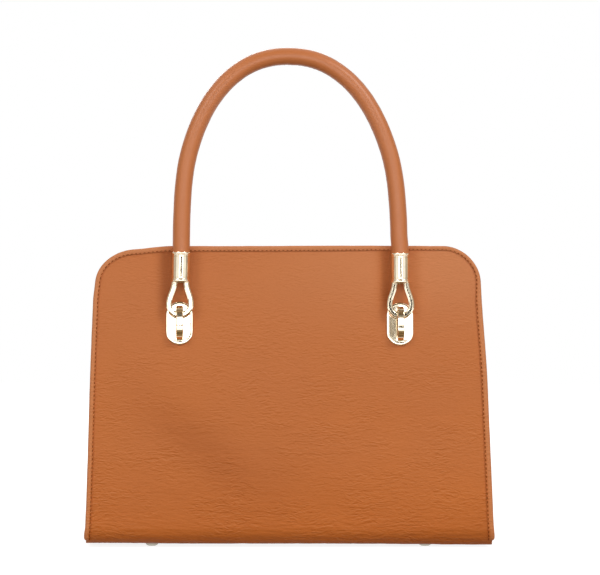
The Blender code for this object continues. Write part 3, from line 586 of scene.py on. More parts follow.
def bar(across: float, up: float, bevel: float, drop: float) -> Line:
    """The section of a flat bar with wide bevels, whose flats stay flat.

    Args:
        across: Its size across.
        up: Its size up.
        bevel: How wide each bevel is across.
        drop: How far each bevel falls.

    Returns:
        The ring of points.
    """
    a, b = across / 2, up / 2
    quarter = [(a - bevel, b), (a, b - drop)]
    corners = quarter + [(x, -y) for x, y in reversed(quarter)]
    corners += [(-x, y) for x, y in reversed(corners)]
    return rounded(corners, 0.00016, 2, True, 1.4)


def shell(piece: Piece, outer: Points, inner: Points, tone: float = 0.0) -> None:
    """Adds a closed sheet between two grids of the same size.

    Args:
        piece: The piece to add to.
        outer: The grid of outer points.
        inner: The grid of inner points.
        tone: The tone of the outer points.
    """
    rows, columns = outer.shape[:2]
    count = rows * columns
    faces = grid_faces(rows, columns)
    faces += [tuple(count + i for i in face[::-1]) for face in faces]
    rim = [j * columns for j in range(rows)] + [(rows - 1) * columns + i for i in range(1, columns)]
    rim += [j * columns + columns - 1 for j in range(rows - 2, -1, -1)] + list(range(columns - 2, 0, -1))
    faces += [(first, second, second + count, first + count) for first, second in zip(rim, rim[1:] + rim[:1])]
    points = np.concatenate([outer.reshape(-1, 3), inner.reshape(-1, 3)])
    piece.add(points, faces, np.repeat([tone, 0.0], count))


class Nodes:
    """A node tree that is being made."""

    def __init__(self, tree: bpy.types.NodeTree) -> None:
        """Keeps the tree that the nodes go into."""
        self.tree = tree

    def feed(self, node: bpy.types.Node, feeds: dict[str | int, object]) -> None:
        """Links a node's inputs to sockets, or sets them to plain values.

        Args:
            node: The node.
            feeds: A socket or a plain value for each input, by name or number.
        """
        for key, value in feeds.items():
            if isinstance(value, Socket):
                self.tree.links.new(value, node.inputs[key])
            else:
                node.inputs[key].default_value = value

    def node(self, kind: str, feeds: dict[str | int, object] | None = None, **settings: object) -> bpy.types.Node:
        """Adds a node, sets its properties and feeds its inputs.

        Args:
            kind: The node's type.
            feeds: A socket or a plain value for each input, by name or number.
            settings: Its properties.

        Returns:
            The node.
        """
        node = self.tree.nodes.new(kind)
        for key, value in settings.items():
            setattr(node, key, value)
        self.feed(node, feeds or {})
        return node

    def maths(self, operation: str, first: object, second: object = 0.0) -> Socket:
        """One operation on one or two values."""
        return self.node("ShaderNodeMath", {0: first, 1: second}, operation=operation).outputs[0]

    def times(self, first: object, second: object) -> Socket:
        """The product of two values."""
        return self.maths("MULTIPLY", first, second)

    def graded(self, value: Socket, low: float, high: float, start: float, end: float) -> Socket:
        """A value stretched from low..high to start..end, and held there."""
        return self.node("ShaderNodeMapRange", dict(enumerate((value, low, high, start, end)))).outputs[0]

    def seen(self) -> Socket:
        """Tells the rays that look at the scene from those that light it.

        Returns:
            1 for camera, glossy and transmission rays, and 0 for the rest.
        """
        path = self.node("ShaderNodeLightPath").outputs
        clear = self.maths("MAXIMUM", path["Is Camera Ray"], path["Is Glossy Ray"])
        return self.maths("MAXIMUM", clear, path["Is Transmission Ray"])


class Shader(Nodes):
    """A Principled material whose pattern nodes are added one by one."""

    def __init__(self, name: str, roughness: float, metallic: float = 0.0, specular: float = 0.5) -> None:
        """Makes the material.

        Args:
            name: Its name.
            roughness: Its roughness where no pattern sets it.
            metallic: 1 for metal and 0 for the rest.
            specular: The strength of its plain reflection.
        """
        self.material = bpy.data.materials.new(name)
        self.material.use_nodes = True
        super().__init__(self.material.node_tree)
        self.finish(**{"Roughness": roughness, "Metallic": metallic, "Specular IOR Level": specular})
        self.where = self.node("ShaderNodeTexCoord").outputs["Object"]

    def finish(self, **values: object) -> None:
        """Sets or links the shader's own inputs."""
        self.feed(self.tree.nodes["Principled BSDF"], values)

    def mapped(self, at: Socket, **values: Sequence[float]) -> Socket:
        """Places moved, turned or scaled."""
        return self.node("ShaderNodeMapping", {"Vector": at, **values}).outputs[0]

    def scaled(self, *scale: float) -> Socket:
        """Object coordinates scaled along each axis."""
        return self.mapped(self.where, Scale=scale)

    def noise(self, at: Socket, scale: float = 1.0, detail: float = 2.0, distortion: float = 0.0) -> Socket:
        """Noise from 0 to 1."""
        feeds = {"Vector": at, "Scale": scale, "Detail": detail, "Distortion": distortion}
        return self.node("ShaderNodeTexNoise", feeds).outputs["Fac"]

    def mixed(self, share: object, first: object, second: object, blend: str = "MIX") -> Socket:
        """Two colours mixed by a share."""
        feeds = {0: share, 6: first, 7: second}
        return self.node("ShaderNodeMix", feeds, data_type="RGBA", blend_type=blend).outputs[2]

    def axis(self, name: str) -> Socket:
        """One of the object coordinates X, Y and Z."""
        return self.node("ShaderNodeSeparateXYZ", {0: self.where}).outputs[name]

    def bump(self, height: Socket, depth: float, strength: float = 1.0) -> None:
        """Raises the surface by a height from 0 to 1 times a depth in metres."""
        feeds = {"Height": height, "Distance": depth, "Strength": strength}
        self.finish(Normal=self.node("ShaderNodeBump", feeds).outputs[0])


def shade(colour: Colour, factor: float = 1.0) -> tuple[float, float, float, float]:
    """A colour made lighter or darker, as RGBA."""
    return (*(min(1.0, c * factor) for c in colour), 1.0)


@dataclass(frozen=True)
class LeatherFinish:
    """Semi-matt tan leather: fine stretched grain, and creases where it has folded low down."""

    name: str
    high: Colour = (0.605, 0.192, 0.061)
    middle: Colour = (0.605, 0.18, 0.046)
    low: Colour = (0.6, 0.162, 0.027)
    roughness: float = 0.5
    crease: float = 1.0
    grain: float = 1.0
    specular: float = 0.14
    relief: float = 0.00022

    def wrinkles(self, made: Shader) -> tuple[Socket, Socket, Socket]:
        """Short wrinkles across the leather, each groove with a lip under it; the colour paints shade on each groove's
        downward side and light on the lip.

        Args:
            made: The material that is being made.

        Returns:
            The height, the painted shade on the grooves and the painted light on the lips, each from 0 to 1.
        """
        wander = made.node("ShaderNodeCombineXYZ", {"Z": made.times(made.noise(made.where, 48.0, 1.0), 0.006)})
        bent = made.node("ShaderNodeVectorMath", {0: made.where, 1: wander.outputs[0]}, operation="ADD")
        places = made.mapped(bent.outputs[0], Scale=(170.0, 170.0, 640.0))
        lower = made.mapped(places, Location=(0.0, 0.0, 0.3))
        height, below = (made.noise(at, distortion=0.7) for at in (places, lower))
        # Where the surface faces down it gets painted shade, and where it faces up painted light.
        slope = made.maths("SUBTRACT", below, height)
        return height, made.graded(slope, 0.035, 0.15, 0.0, 1.0), made.graded(slope, -0.035, -0.15, 0.0, 1.0)

    def material(self) -> Material:
        """Makes the material.

        Returns:
            The finished material.
        """
        made = Shader(self.name, self.roughness, specular=self.specular)
        broad = made.noise(made.where, 11.0, 3.0)
        fine = made.noise(made.scaled(520.0, 520.0, 1300.0))
        pores = made.noise(made.where, 2300.0)
        height = made.axis("Z")
        patches = made.graded(made.noise(made.scaled(30.0, 30.0, 60.0)), 0.38, 0.6, 0.3, 1.0)
        share = made.times(made.times(made.graded(height, 0.03, 0.21, 1.0, 0.35), patches), self.crease)
        rumpled, groove_shade, lip_light = self.wrinkles(made)
        # Paler towards the top and more saturated towards the foot: a painted sheen, which the upper face catches and
        # the foot lacks.
        colour = made.mixed(made.graded(height, 0.1, 0.2, 0.0, 1.0), shade(self.middle), shade(self.high))
        colour = made.mixed(made.graded(height, 0.0, 0.075, 1.0, 0.0), colour, shade(self.low))
        light = made.mixed(0.5, colour, shade((1.0, 0.9, 0.8)), "OVERLAY")
        colour = made.mixed(made.graded(broad, 0.32, 0.7, 0.0, 0.15), colour, light)
        # dark serves both the grain's own darker flecks and the painted shade in the grooves; lit is painted light on
        # the lips.
        dark = made.mixed(1.0, colour, shade((0.82, 0.7, 0.42)), "MULTIPLY")
        lit = made.mixed(0.1, colour, shade((1.0, 0.55, 0.28)))
        grain = made.graded(fine, 0.55, 0.3, 0.0, 0.2 * self.grain)
        speck = made.graded(pores, 0.36, 0.26, 0.0, 0.35 * self.grain)
        colour = made.mixed(made.maths("MAXIMUM", grain, speck), colour, dark)
        # Painted shade on the wrinkles' grooves and painted light on their lips.
        colour = made.mixed(made.times(groove_shade, share), colour, dark)
        colour = made.mixed(made.times(lip_light, share), colour, lit)
        # The tone's pale side paints light, and its deep side paints shade and shadow as well as darker patches of the
        # leather.
        tone = made.node("ShaderNodeAttribute", attribute_name="tone").outputs["Fac"]
        pale = made.mixed(0.3, colour, shade((0.85, 0.42, 0.22)))
        deep = made.mixed(1.0, colour, shade((0.48, 0.31, 0.08)), "MULTIPLY")
        colour = made.mixed(made.graded(tone, 0.0, 1.0, 0.0, 1.0), colour, pale)
        colour = made.mixed(made.graded(tone, 0.0, -1.0, 0.0, 1.0), colour, deep)
        sheen = made.graded(broad, 0.3, 0.7, self.roughness - 0.05, self.roughness + 0.06)
        made.finish(**{"Base Color": colour, "Roughness": sheen})
        relief = made.maths("ADD", made.times(fine, 0.35 * self.grain), made.times(pores, 0.16 * self.grain))
        made.bump(made.maths("ADD", relief, made.times(made.times(rumpled, share), 2.4)), self.relief)
        return made.material


@dataclass(frozen=True)
class MetalFinish:
    """Polished plated metal with faint wiping marks."""

    name: str
    colour: Colour = (0.95, 0.85, 0.66)
    roughness: float = 0.07
    marks: float = 0.04
    wave: float = 1.1e-5

    def material(self) -> Material:
        """Makes the material.

        Returns:
            The finished material.
        """
        made = Shader(self.name, self.roughness, metallic=1.0)
        turned = made.mapped(made.where, Rotation=(0.3, 0.2, 0.0))
        wiped = made.noise(made.mapped(turned, Scale=(900.0, 900.0, 160.0)), 1.0, 3.0)
        clouds = made.graded(made.noise(made.where, 220.0), 0.3, 0.7, 0.0, 1.0)
        colour = made.mixed(clouds, shade(self.colour, 0.95), shade(self.colour, 1.04))
        polish = made.graded(wiped, 0.35, 0.75, self.roughness - 0.03, self.roughness + self.marks)
        made.finish(**{"Base Color": colour, "Roughness": polish})
        waves = made.noise(made.scaled(420.0, 420.0, 620.0))
        made.bump(made.maths("ADD", made.times(wiped, 0.2), waves), self.wave)
        return made.material


@dataclass(frozen=True)
class ClothFinish:
    """Woven cloth: crossing yarns, small slubs and a matt surface."""

    name: str
    colour: Colour = (0.47, 0.33, 0.21)
    yarn: float = 0.0008

    def material(self) -> Material:
        """Makes the material.

        Returns:
            The finished material.
        """
        made = Shader(self.name, 0.85, specular=0.2)
        turns = 2 * math.pi / self.yarn
        warp, weft = (made.maths("ADD", made.axis(axis), made.axis("Y")) for axis in ("X", "Z"))
        waves = made.times(*(made.maths("SINE", made.times(yarns, turns)) for yarns in (warp, weft)))
        weave = made.graded(waves, -1.0, 1.0, 0.0, 1.0)
        slubs = made.graded(made.noise(made.scaled(60.0, 60.0, 900.0), 1.0, 3.0), 0.4, 0.75, 0.0, 0.35)
        colour = made.mixed(weave, shade(self.colour, 0.78), shade(self.colour, 1.12))
        made.finish(**{"Base Color": made.mixed(slubs, colour, shade(self.colour, 0.7)), "Sheen Weight": 0.25})
        made.bump(weave, 0.00012, 0.8)
        return made.material


@dataclass(frozen=True)
class FibreFinish:
    """Thread, rope or fibre board: fine fibres along a grain."""

    name: str
    colour: Colour
    fibre: tuple[float, float, float]
    roughness: float

    def material(self) -> Material:
        """Makes the material.

        Returns:
            The finished material.
        """
        made = Shader(self.name, self.roughness, specular=0.03)
        fibres = made.noise(made.scaled(*self.fibre), 1.0, 3.0)
        share = made.graded(fibres, 0.3, 0.7, 0.0, 1.0)
        made.finish(**{"Base Color": made.mixed(share, shade(self.colour, 0.75), shade(self.colour, 1.25))})
        made.bump(fibres, 0.0001)
        return made.material


@dataclass(frozen=True)
class Finishes:
    """Every finish of the bag, made once."""

    leather: Material
    handle: Material
    inside: Material
    metal: Material
    sleeve: Material
    grey_shaded_foot_metal: Material
    lining: Material
    tape: Material
    thread: Material
    board: Material
    rope: Material
    steel: Material

    @classmethod
    def made(cls) -> "Finishes":
        """Makes all the materials.

        Returns:
            The set of finishes.
        """
        grip, facing = [(0.595, 0.181, 0.048)] * 3, [(0.5, 0.155, 0.05)] * 3
        kinds = {
            "leather": LeatherFinish("tan_leather"),
            "handle": LeatherFinish("handle_leather", *grip, 0.4, crease=0.0, grain=0.6, specular=0.62),
            "inside": LeatherFinish("facing_leather", *facing, crease=0.0),
            "metal": MetalFinish("pale_gold"),
            "sleeve": MetalFinish("sleeve_gold", wave=3e-6),
            # The feet's metal is greyer and darker: painted shade, standing for the dark underside they reflect.
            "grey_shaded_foot_metal": MetalFinish("grey_shaded_foot_gold", (0.44, 0.41, 0.35), 0.22, 0.1),
            "lining": ClothFinish("lining_cloth"),
            "tape": ClothFinish("zip_tape", (0.22, 0.11, 0.055), 0.0006),
            "thread": FibreFinish("dark_thread", (0.22, 0.046, 0.006), (3000.0, 3000.0, 3000.0), 0.6),
            "board": FibreFinish("fibre_board", (0.45, 0.36, 0.26), (300.0, 300.0, 900.0), 0.9),
            "rope": FibreFinish("cotton_rope", (0.75, 0.68, 0.55), (500.0, 1500.0, 1500.0), 0.9),
            "steel": MetalFinish("zinc_steel", (0.55, 0.55, 0.55), 0.32, 0.1),
        }
        return cls(**{use: finish.material() for use, finish in kinds.items()})


class Tree(Nodes):
    """A Geometry Nodes tree that is being made, with named inputs."""

    def __init__(self, name: str, **inputs: str) -> None:
        """Starts a tree that takes and gives one geometry.

        Args:
            name: The tree's name.
            inputs: The kind of each further input, by its name.
        """
        super().__init__(bpy.data.node_groups.new(name, "GeometryNodeTree"))
        for way in ("INPUT", "OUTPUT"):
            self.tree.interface.new_socket("Geometry", in_out=way, socket_type="NodeSocketGeometry")
        for key, kind in (inputs | {"Material": "Material"}).items():
            self.tree.interface.new_socket(key, in_out="INPUT", socket_type=f"NodeSocket{kind}")
        self.source = self.node("NodeGroupInput")
        self.result = self.node("NodeGroupOutput")

    def input(self, name: str) -> Socket:
        """The socket of a named input."""
        return self.source.outputs[name]

    def steps(self, length: str) -> Socket:
        """Sets points along the source line.

        Args:
            length: The name of the input with the distance between them.

        Returns:
            The curve that has the points.
        """
        curve = self.node("GeometryNodeMeshToCurve", {0: self.source.outputs[0]}).outputs[0]
        feeds = {0: curve, "Length": self.input(length)}
        return self.node("GeometryNodeResampleCurve", feeds, mode="LENGTH").outputs[0]

    def set_out(self, points: Socket, **feeds: Socket) -> Socket:
        """Instances set on points."""
        return self.node("GeometryNodeInstanceOnPoints", {0: points, **feeds}).outputs[0]

    def close(self, geometry: Socket, smooth: bool = True) -> None:
        """Ends the tree in Realize Instances, Set Shade Smooth and Set Material.

        Args:
            geometry: What the tree has made.
            smooth: Whether its faces are shaded smooth.
        """
        real = self.node("GeometryNodeRealizeInstances", {0: geometry})
        shaded = self.node("GeometryNodeSetShadeSmooth", {0: real.outputs[0], "Shade Smooth": smooth})
        feeds = {0: shaded.outputs[0], "Material": self.input("Material")}
        self.feed(self.result, {0: self.node("GeometryNodeSetMaterial", feeds).outputs[0]})

    def run(self, name: str, points: Points, extra: dict[str, Points], **values: object) -> bpy.types.Object:
        """Runs the tree on a line and keeps the result as a plain mesh.

        Args:
            name: The name of the piece.
            points: The places along the line.
            extra: Vectors or numbers to keep at each point, by attribute name.
            values: The values of the named inputs.

        Returns:
            The finished object.
        """
        mesh = bpy.data.meshes.new(name)
        mesh.from_pydata(points, [(i, i + 1) for i in range(len(points) - 1)], [])
        for key, numbers in extra.items():
            kind, field_name = ("FLOAT_VECTOR", "vector") if numbers.ndim == 2 else ("FLOAT", "value")
            attribute = mesh.attributes.new(key, kind, "POINT")
            attribute.data.foreach_set(field_name, numbers.astype(np.float32).ravel())
        obj = linked(name, mesh)
        modifier = obj.modifiers.new("Nodes", "NODES")
        modifier.node_group = self.tree
        for item in self.tree.interface.items_tree:
            if item.item_type == "SOCKET" and item.in_out == "INPUT" and item.name in values:
                modifier[item.identifier] = values[item.name]
        return applied(obj)


class Seams:
    """Runs of stitches: one tree that sets a thread at each step along a line."""

    cover = 0.72
    sway = 0.09

    def __init__(self, thread: Material) -> None:
        """Makes the tree.

        Args:
            thread: The finish of the thread.
        """
        self.thread = thread
        self.seed = 0
        tree = self.tree = Tree("stitch_run", Pitch="Float", Length="Float", Width="Float", Sway="Float", Seed="Int")
        width, sway = tree.input("Width"), tree.input("Sway")
        even = tree.steps("Pitch")
        along = tree.node("GeometryNodeInputTangent").outputs[0]
        out = tree.node("GeometryNodeInputNamedAttribute", {"Name": "out"}, data_type="FLOAT_VECTOR").outputs[0]
        aim = tree.node("FunctionNodeAxesToRotation", {0: out, 1: along}, primary_axis="Z", secondary_axis="X")
        feeds = {2: tree.times(sway, -1.0), 3: sway, "Seed": tree.input("Seed")}
        turn = tree.node("FunctionNodeRandomValue", feeds, data_type="FLOAT").outputs[1]
        feeds = {0: aim.outputs[0], 1: tree.node("ShaderNodeCombineXYZ", {2: turn}).outputs[0]}
        turned = tree.node("FunctionNodeRotateRotation", feeds, rotation_space="LOCAL").outputs[0]
        bead = tree.node("GeometryNodeMeshUVSphere", {"Segments": 6, "Rings": 5, "Radius": 0.5}).outputs[0]
        size = tree.node("ShaderNodeCombineXYZ", {0: tree.input("Length"), 1: width, 2: width}).outputs[0]
        tree.close(tree.set_out(even, Instance=bead, Rotation=turned, Scale=size))

    def sew(self, name: str, points: Points, out: Points, body: str, pitch: float, width: float = 0.0007) -> None:
        """Sews one run.

        Args:
            name: The name of the piece.
            points: The line on the surface.
            out: The outward unit vector at each point, or one for all.
            body: The CAD body that the run rides on.
            pitch: The distance from one stitch to the next.
            width: The thread's width.
        """
        self.seed += 1
        out = np.broadcast_to(np.asarray(out, float), points.shape)
        made = self.tree.run(name, points, {"out": out}, Pitch=pitch, Length=pitch * self.cover, Width=width,
                             Sway=self.sway, Seed=self.seed, Material=self.thread)
        place(made, body, Slot.LINING)


@dataclass(frozen=True)
class Part:
    """A sub-assembly of the bag, with what each of them needs."""

    form: BagForm
    finishes: Finishes
    seams: Seams


@dataclass(frozen=True)
class SidePart(Part):
    """A sub-assembly of the front or of the rear."""

    side: Side

    def named(self, word: str) -> str:
        """The name of one of this side's pieces or nodes."""
        return f"{self.side.value}_{word}"


@dataclass(frozen=True)
class Face(SidePart):
    """One leather face: the panel, its board, its facing, the binding and the stitches."""

    column: float = 0.002
    row: float = 0.00052
    creased_to: float = 0.15
    puff: float = 0.0005
    dents: float = 0.0008
    folds: float = 0.0002
    creases: float = 0.0002
    hem: float = 0.00022
    roll_sag: float = 0.0012
    plate_clear: float = 0.024
    binding_width: float = 0.0043
    binding_groove: float = 0.00018
    stitch_inset: float = 0.0037
    stitch_pitch: float = 0.0033
    binding_step: float = 0.0009
    binding_end: float = math.radians(38)
    stitch_end: float = math.radians(52)
    stitch_thread: float = 0.00068
    band_reach: float = 0.146
    band_inset: float = 0.0035
    band_pitch: float = 0.0036
    pucker: float = 0.00016
    # Width and offset of the painted shadow beside the front handle's sleeves.
    sleeve_shadow_width: float = 0.0058
    sleeve_shadow_offset: float = 0.0105

    def grid(self, low: float, inset: float, step: float, columns: int) -> tuple[Points, Points]:
        """The places of a sheet that fills the outline, closer where the corners turn.

        Args:
            low: The lowest height v.
            inset: How far inside the outline the sheet ends.
            step: The distance between rows.
            columns: The number of places in a row, which is odd.

        Returns:
            The places u and v, one row for each height.
        """
        form = self.form
        start = form.face_top - form.corner
        inner = form.corner - inset
        flat = np.linspace(low, start, max(0, math.ceil((start - low) / step)), endpoint=False)
        first = math.asin(max(0.0, low - start) / inner)
        angles = np.linspace(first, math.pi / 2, math.ceil((math.pi / 2 - first) * inner / (1.6 * step)) + 1)
        levels = np.concatenate([flat, start + inner * np.sin(angles)])
        u = form.half_width(levels, inset)[:, None] * np.linspace(-1, 1, columns)[None, :]
        return u, np.broadcast_to(levels[:, None], u.shape)

    def relief(self, u: Points, v: Points) -> tuple[Points, Points]:
        """How far the leather stands out from its plain form, and its tone.

        Args:
            u: Places across the face.
            v: Heights up the face.

        Returns:
            The distance outwards and the tone at each place.
        """
        form = self.form
        inside = np.minimum(form.half_width(v, 0.0) - np.abs(u), form.face_top - v)
        soft = ramp(inside, 0.006, 0.03) * ramp(v, -0.004, 0.016)
        for hand in Hand:
            away = np.hypot(u - hand.value * form.anchor_spacing / 2, (v - form.anchor_v) * 0.8)
            soft = soft * ramp(away, 0.55 * self.plate_clear, 1.5 * self.plate_clear)
        seed = 3.7 if self.side is Side.FRONT else 11.3
        places = np.stack([u, v], -1)
        low = 1 - ramp(v, 0.045, self.creased_to)
        dent_u, dent_v = u + 0.076, v - 0.081
        patch = bell(dent_u * 0.8 - dent_v * 0.6, 0.052) * bell(dent_u * 0.6 + dent_v * 0.8, 0.018)
        warm = bell(u + 0.012, 0.07) * bell(v - 0.034, 0.04)
        broad = field(places, (0.075, 0.05), seed)
        middle = field(places, (0.03, 0.0085), seed + 1)
        bent = np.stack([u, v + 0.0022 * field(places, (0.016, 0.011), seed + 4)], -1)
        fine = field(bent, (0.0075, 0.0013), seed + 2)
        coarse = field(bent, (0.013, 0.0027), seed + 3)
        patchy = ramp(field(places, (0.03, 0.018), seed + 5), -0.35, 0.35)
        creased = (0.1 + 0.8 * low + 0.7 * patch) * (0.45 + 0.75 * patchy)
        dented = self.dents * ((0.35 + 0.65 * low) * broad - 0.5 * patch)
        waves = self.folds * (0.1 + 0.9 * low + 0.9 * patch) * middle
        valleys = 1 - ramp(np.abs(coarse), 0.0, 0.2)
        lines = self.creases * creased * (0.55 * fine - 0.45 * valleys)
        fanned = np.stack([u + 0.4 * v, v + 0.1 * u * ramp(-u, 0.03, 0.12)], -1)
        hem = 1 - ramp(np.abs(field(fanned, (0.022, 0.003), seed + 6)), 0.0, 0.3)
        lines = lines - self.hem * (1 - ramp(v, 0.014, 0.04)) * hem
        sag = self.roll_sag * (0.4 + 0.6 * ramp(u, 0.03, 0.15)) * (1 - ramp(-u, 0.08, 0.15))
        sag = sag * bell(v - form.roll_end - 0.002, 0.006)
        groove = self.binding_groove * bell(inside / self.strip(u, v) - self.binding_width, 0.0009) * ramp(v, 0.0, 0.01)
        rise = soft * (self.puff + dented + waves) + ramp(inside, 0.0048, 0.01) * lines + sag - groove
        # Painted light: the upper right of the face is made lighter.
        pale = 0.62 * ramp(v, 0.15, 0.232) * ramp(u, -0.07, 0.12)
        corner = 0.13 * ramp(u, 0.02, 0.11) * (1 - ramp(v, 0.012, 0.04))
        # Darker over the dented patch, low in the middle and towards the lower right foot, with painted shade in the
        # crease valleys.
        tone = pale - soft * (0.22 * patch + 0.12 * warm) - corner - 0.02 * creased * valleys
        # The tone also takes the painted shadow beside the sleeves.
        return rise, tone - self.painted_sleeve_shadow(u, v)

    def painted_sleeve_shadow(self, u: Points, v: Points) -> Points:
        """The shadow of the sleeves of the handle that stands up, painted on the leather beside them.

        Args:
            u: Places across the face.
            v: Heights up the face.

        Returns:
            How far the tone falls at each place.
        """
        marks = np.zeros(np.shape(u))
        if self.side is Side.FRONT:
            middle = self.form.anchor_spacing / 2
            # Painted shadow: darker beside each sleeve, more on its left than on its right.
            for hand, left, right in ((-1, 0.52, 0.22), (1, 1.0, 0.38)):
                marks = marks + left * bell(u - hand * middle + self.sleeve_shadow_offset, self.sleeve_shadow_width)
                marks = marks + right * bell(u - hand * middle - self.sleeve_shadow_offset, self.sleeve_shadow_width)
        return marks * ramp(v, self.form.anchor_v - 0.006, self.form.anchor_v + 0.026)

    def strip(self, u: Points, v: Points) -> Points:
        """How wide the binding is, as a share: narrower round the right corner, wider below it."""
        high = ramp(v, 0.188, 0.216)
        return 1 + 0.14 * ramp(u, 0.118, 0.14) * (1 - high) - 0.2 * high * ramp(u, 0.02, 0.11)

    def panel(self) -> None:
        """Makes the face leather, dented and creased as the photograph shows it."""
        form = self.form
        columns = 2 * round(form.base_width / self.column / 2) + 1
        u, v = self.grid(form.roll_end - form.panel_lip, form.edge, self.row, columns)
        rise, tone = self.relief(u, v)
        piece = Piece(self.named("leather"), self.finishes.leather)
        piece.add(form.wrap(self.side, u, v, rise), grid_faces(*u.shape), tone)
        last, top = columns - 1, (len(u) - 1) * columns
        back = form.wrap(self.side, u, v, -form.leather)
        left, right = piece.add(back[:, 0], []), piece.add(back[:, -1], [])
        for j in range(len(u) - 1):
            row, above = j * columns, (j + 1) * columns
            piece.faces += [(left + j, right + j, right + j + 1, left + j + 1), (row, above, left + j + 1, left + j),
                            (right + j, right + j + 1, above + last, row + last)]
        piece.faces.append((left, *range(columns), right))
        piece.faces.append((right + len(u) - 1, *range(top + last, top - 1, -1), left + len(u) - 1))
        place(piece.build(), BAG, Slot.LEATHER, self.named("panel"))

    def sheet(self, name: str, low: float, inset: float, levels: tuple[float, float], material: Material,
              slot: Slot, node: str) -> None:
        """Makes a flat closed sheet that follows the face's outline.

        Args:
            name: The piece's name.
            low: The height v of its lower edge.
            inset: How far inside the outline it ends.
            levels: The levels n of its outer and its inner side.
            material: Its finish.
            slot: Its slot in the record.
            node: The node that it replaces.
        """
        u, v = self.grid(low, inset, 0.003, 61)
        piece = Piece(self.named(name), material)
        shell(piece, *(self.form.wrap(self.side, u, v, level) for level in levels))
        place(piece.build(40), BAG, slot, self.named(node))

    def binding(self) -> None:
        """Makes the strip folded over the edge, rounded, puckered by its stitches."""
        form = self.form
        places, inwards = form.outline(form.roll_end + form.roll_radius * self.binding_end, self.binding_step)
        wide, inner = self.binding_width, -form.stack - form.gap
        front, back = form.gap + form.binding, inner - form.binding
        corners = [(wide - 0.0001, form.gap), (wide, front - 0.0002), (0.0016, front + 0.0005), (0.0, front - 0.0004),
                   (0.0, back + 0.0004), (0.0016, back - 0.0005), (wide, back + 0.0002), (wide - 0.0001, inner)]
        section = np.array(rounded(corners, 0.0013, 5, False) + [(form.binding, inner), (form.binding, form.gap)])
        run = np.concatenate([[0.0], np.cumsum(np.hypot(*np.diff(places, axis=0).T))])
        from_end = np.minimum(run, run[-1] - run)
        shrink = 0.3 + 0.7 * np.sqrt(1 - (1 - np.clip(from_end / 0.0032, 0, 1)) ** 2)
        middle = np.array([wide / 2, (front + back) / 2])
        a, n = np.moveaxis(middle + (section - middle) * shrink[:, None, None], -1, 0)
        wobble = field(np.stack([run, np.zeros_like(run)], -1), (0.012, 1.0), 5.0)
        bulge = 0.0006 * bell(from_end - 0.0045, 0.0045) + 0.00012 * wobble
        near_seam = bell(section[:, 0] - self.stitch_inset, 0.0007)
        stitched = 0.5 + 0.5 * np.cos(2 * math.pi * run / self.stitch_pitch)
        sink = -self.pucker * (0.2 + 1.3 * stitched[:, None]) * near_seam
        a = a * self.strip(*places.T)[:, None] - bulge[:, None]
        n = n + np.where(section[:, 1] > middle[1], sink, -sink)
        u, v = (places[:, None, i] + a * inwards[:, None, i] for i in (0, 1))
        # Painted highlight: the raised binding is lighter all along; painted shade darkens it at each stitch of the
        # seam, more on the upright sides than across the top.
        upright = 0.35 + 0.65 * np.abs(inwards[:, 0])
        tone = 0.8 - ((0.66 + 0.84 * stitched) * upright)[:, None] * near_seam
        piece = Piece(self.named("edge_binding"), self.finishes.leather)
        piece.add(form.wrap(self.side, u, v, n), bar_faces(*a.shape), tone)
        place(piece.build(50), BAG, Slot.LEATHER, self.named("binding"))

    def stitches(self) -> None:
        """Sews the binding through, outside and inside."""
        form = self.form
        places, inwards = form.outline(form.roll_end + form.roll_radius * self.stitch_end, MM)
        u, v = (places + inwards * (self.stitch_inset * self.strip(*places.T))[:, None]).T
        sunk = 0.00012 + (0.00018 + 0.00012 * ramp(places[:, 0], 0.02, 0.09)) * (1 - np.abs(inwards[:, 0]))
        for word, level, way in (("outer", form.edge, 1), ("inner", -form.stack - form.edge, -1)):
            points = form.wrap(self.side, u, v, level - way * sunk)
            out = unit(form.wrap(self.side, u, v, level + way * MM) - points)
            name = self.named(f"binding_stitches_{word}")
            self.seams.sew(name, points, out, BAG, self.stitch_pitch, self.stitch_thread)

    def build(self) -> None:
        """Makes the whole face, and sews its band round the mouth."""
        form, finishes = self.form, self.finishes
        self.panel()
        self.binding()
        self.stitches()
        levels = (-form.board_level, -form.board_level - form.board)
        self.sheet("stiffener", form.face_start, form.edge + 0.0015, levels, finishes.board, Slot.BOARD, "board")
        self.sheet("mouth_band", form.facing_bottom, form.edge + 0.0004, (-form.inner_level, -form.stack),
                   finishes.inside, Slot.LEATHER, "facing")
        across = np.linspace(-self.band_reach, self.band_reach, 120)
        low, depth = form.facing_bottom + self.band_inset, form.stack + THREAD_SINK
        points, beyond = (form.wrap(self.side, across, low, -deep) for deep in (depth, depth + MM))
        self.seams.sew(self.named("mouth_band_stitches"), points, (beyond - points) / MM, BAG, self.band_pitch)


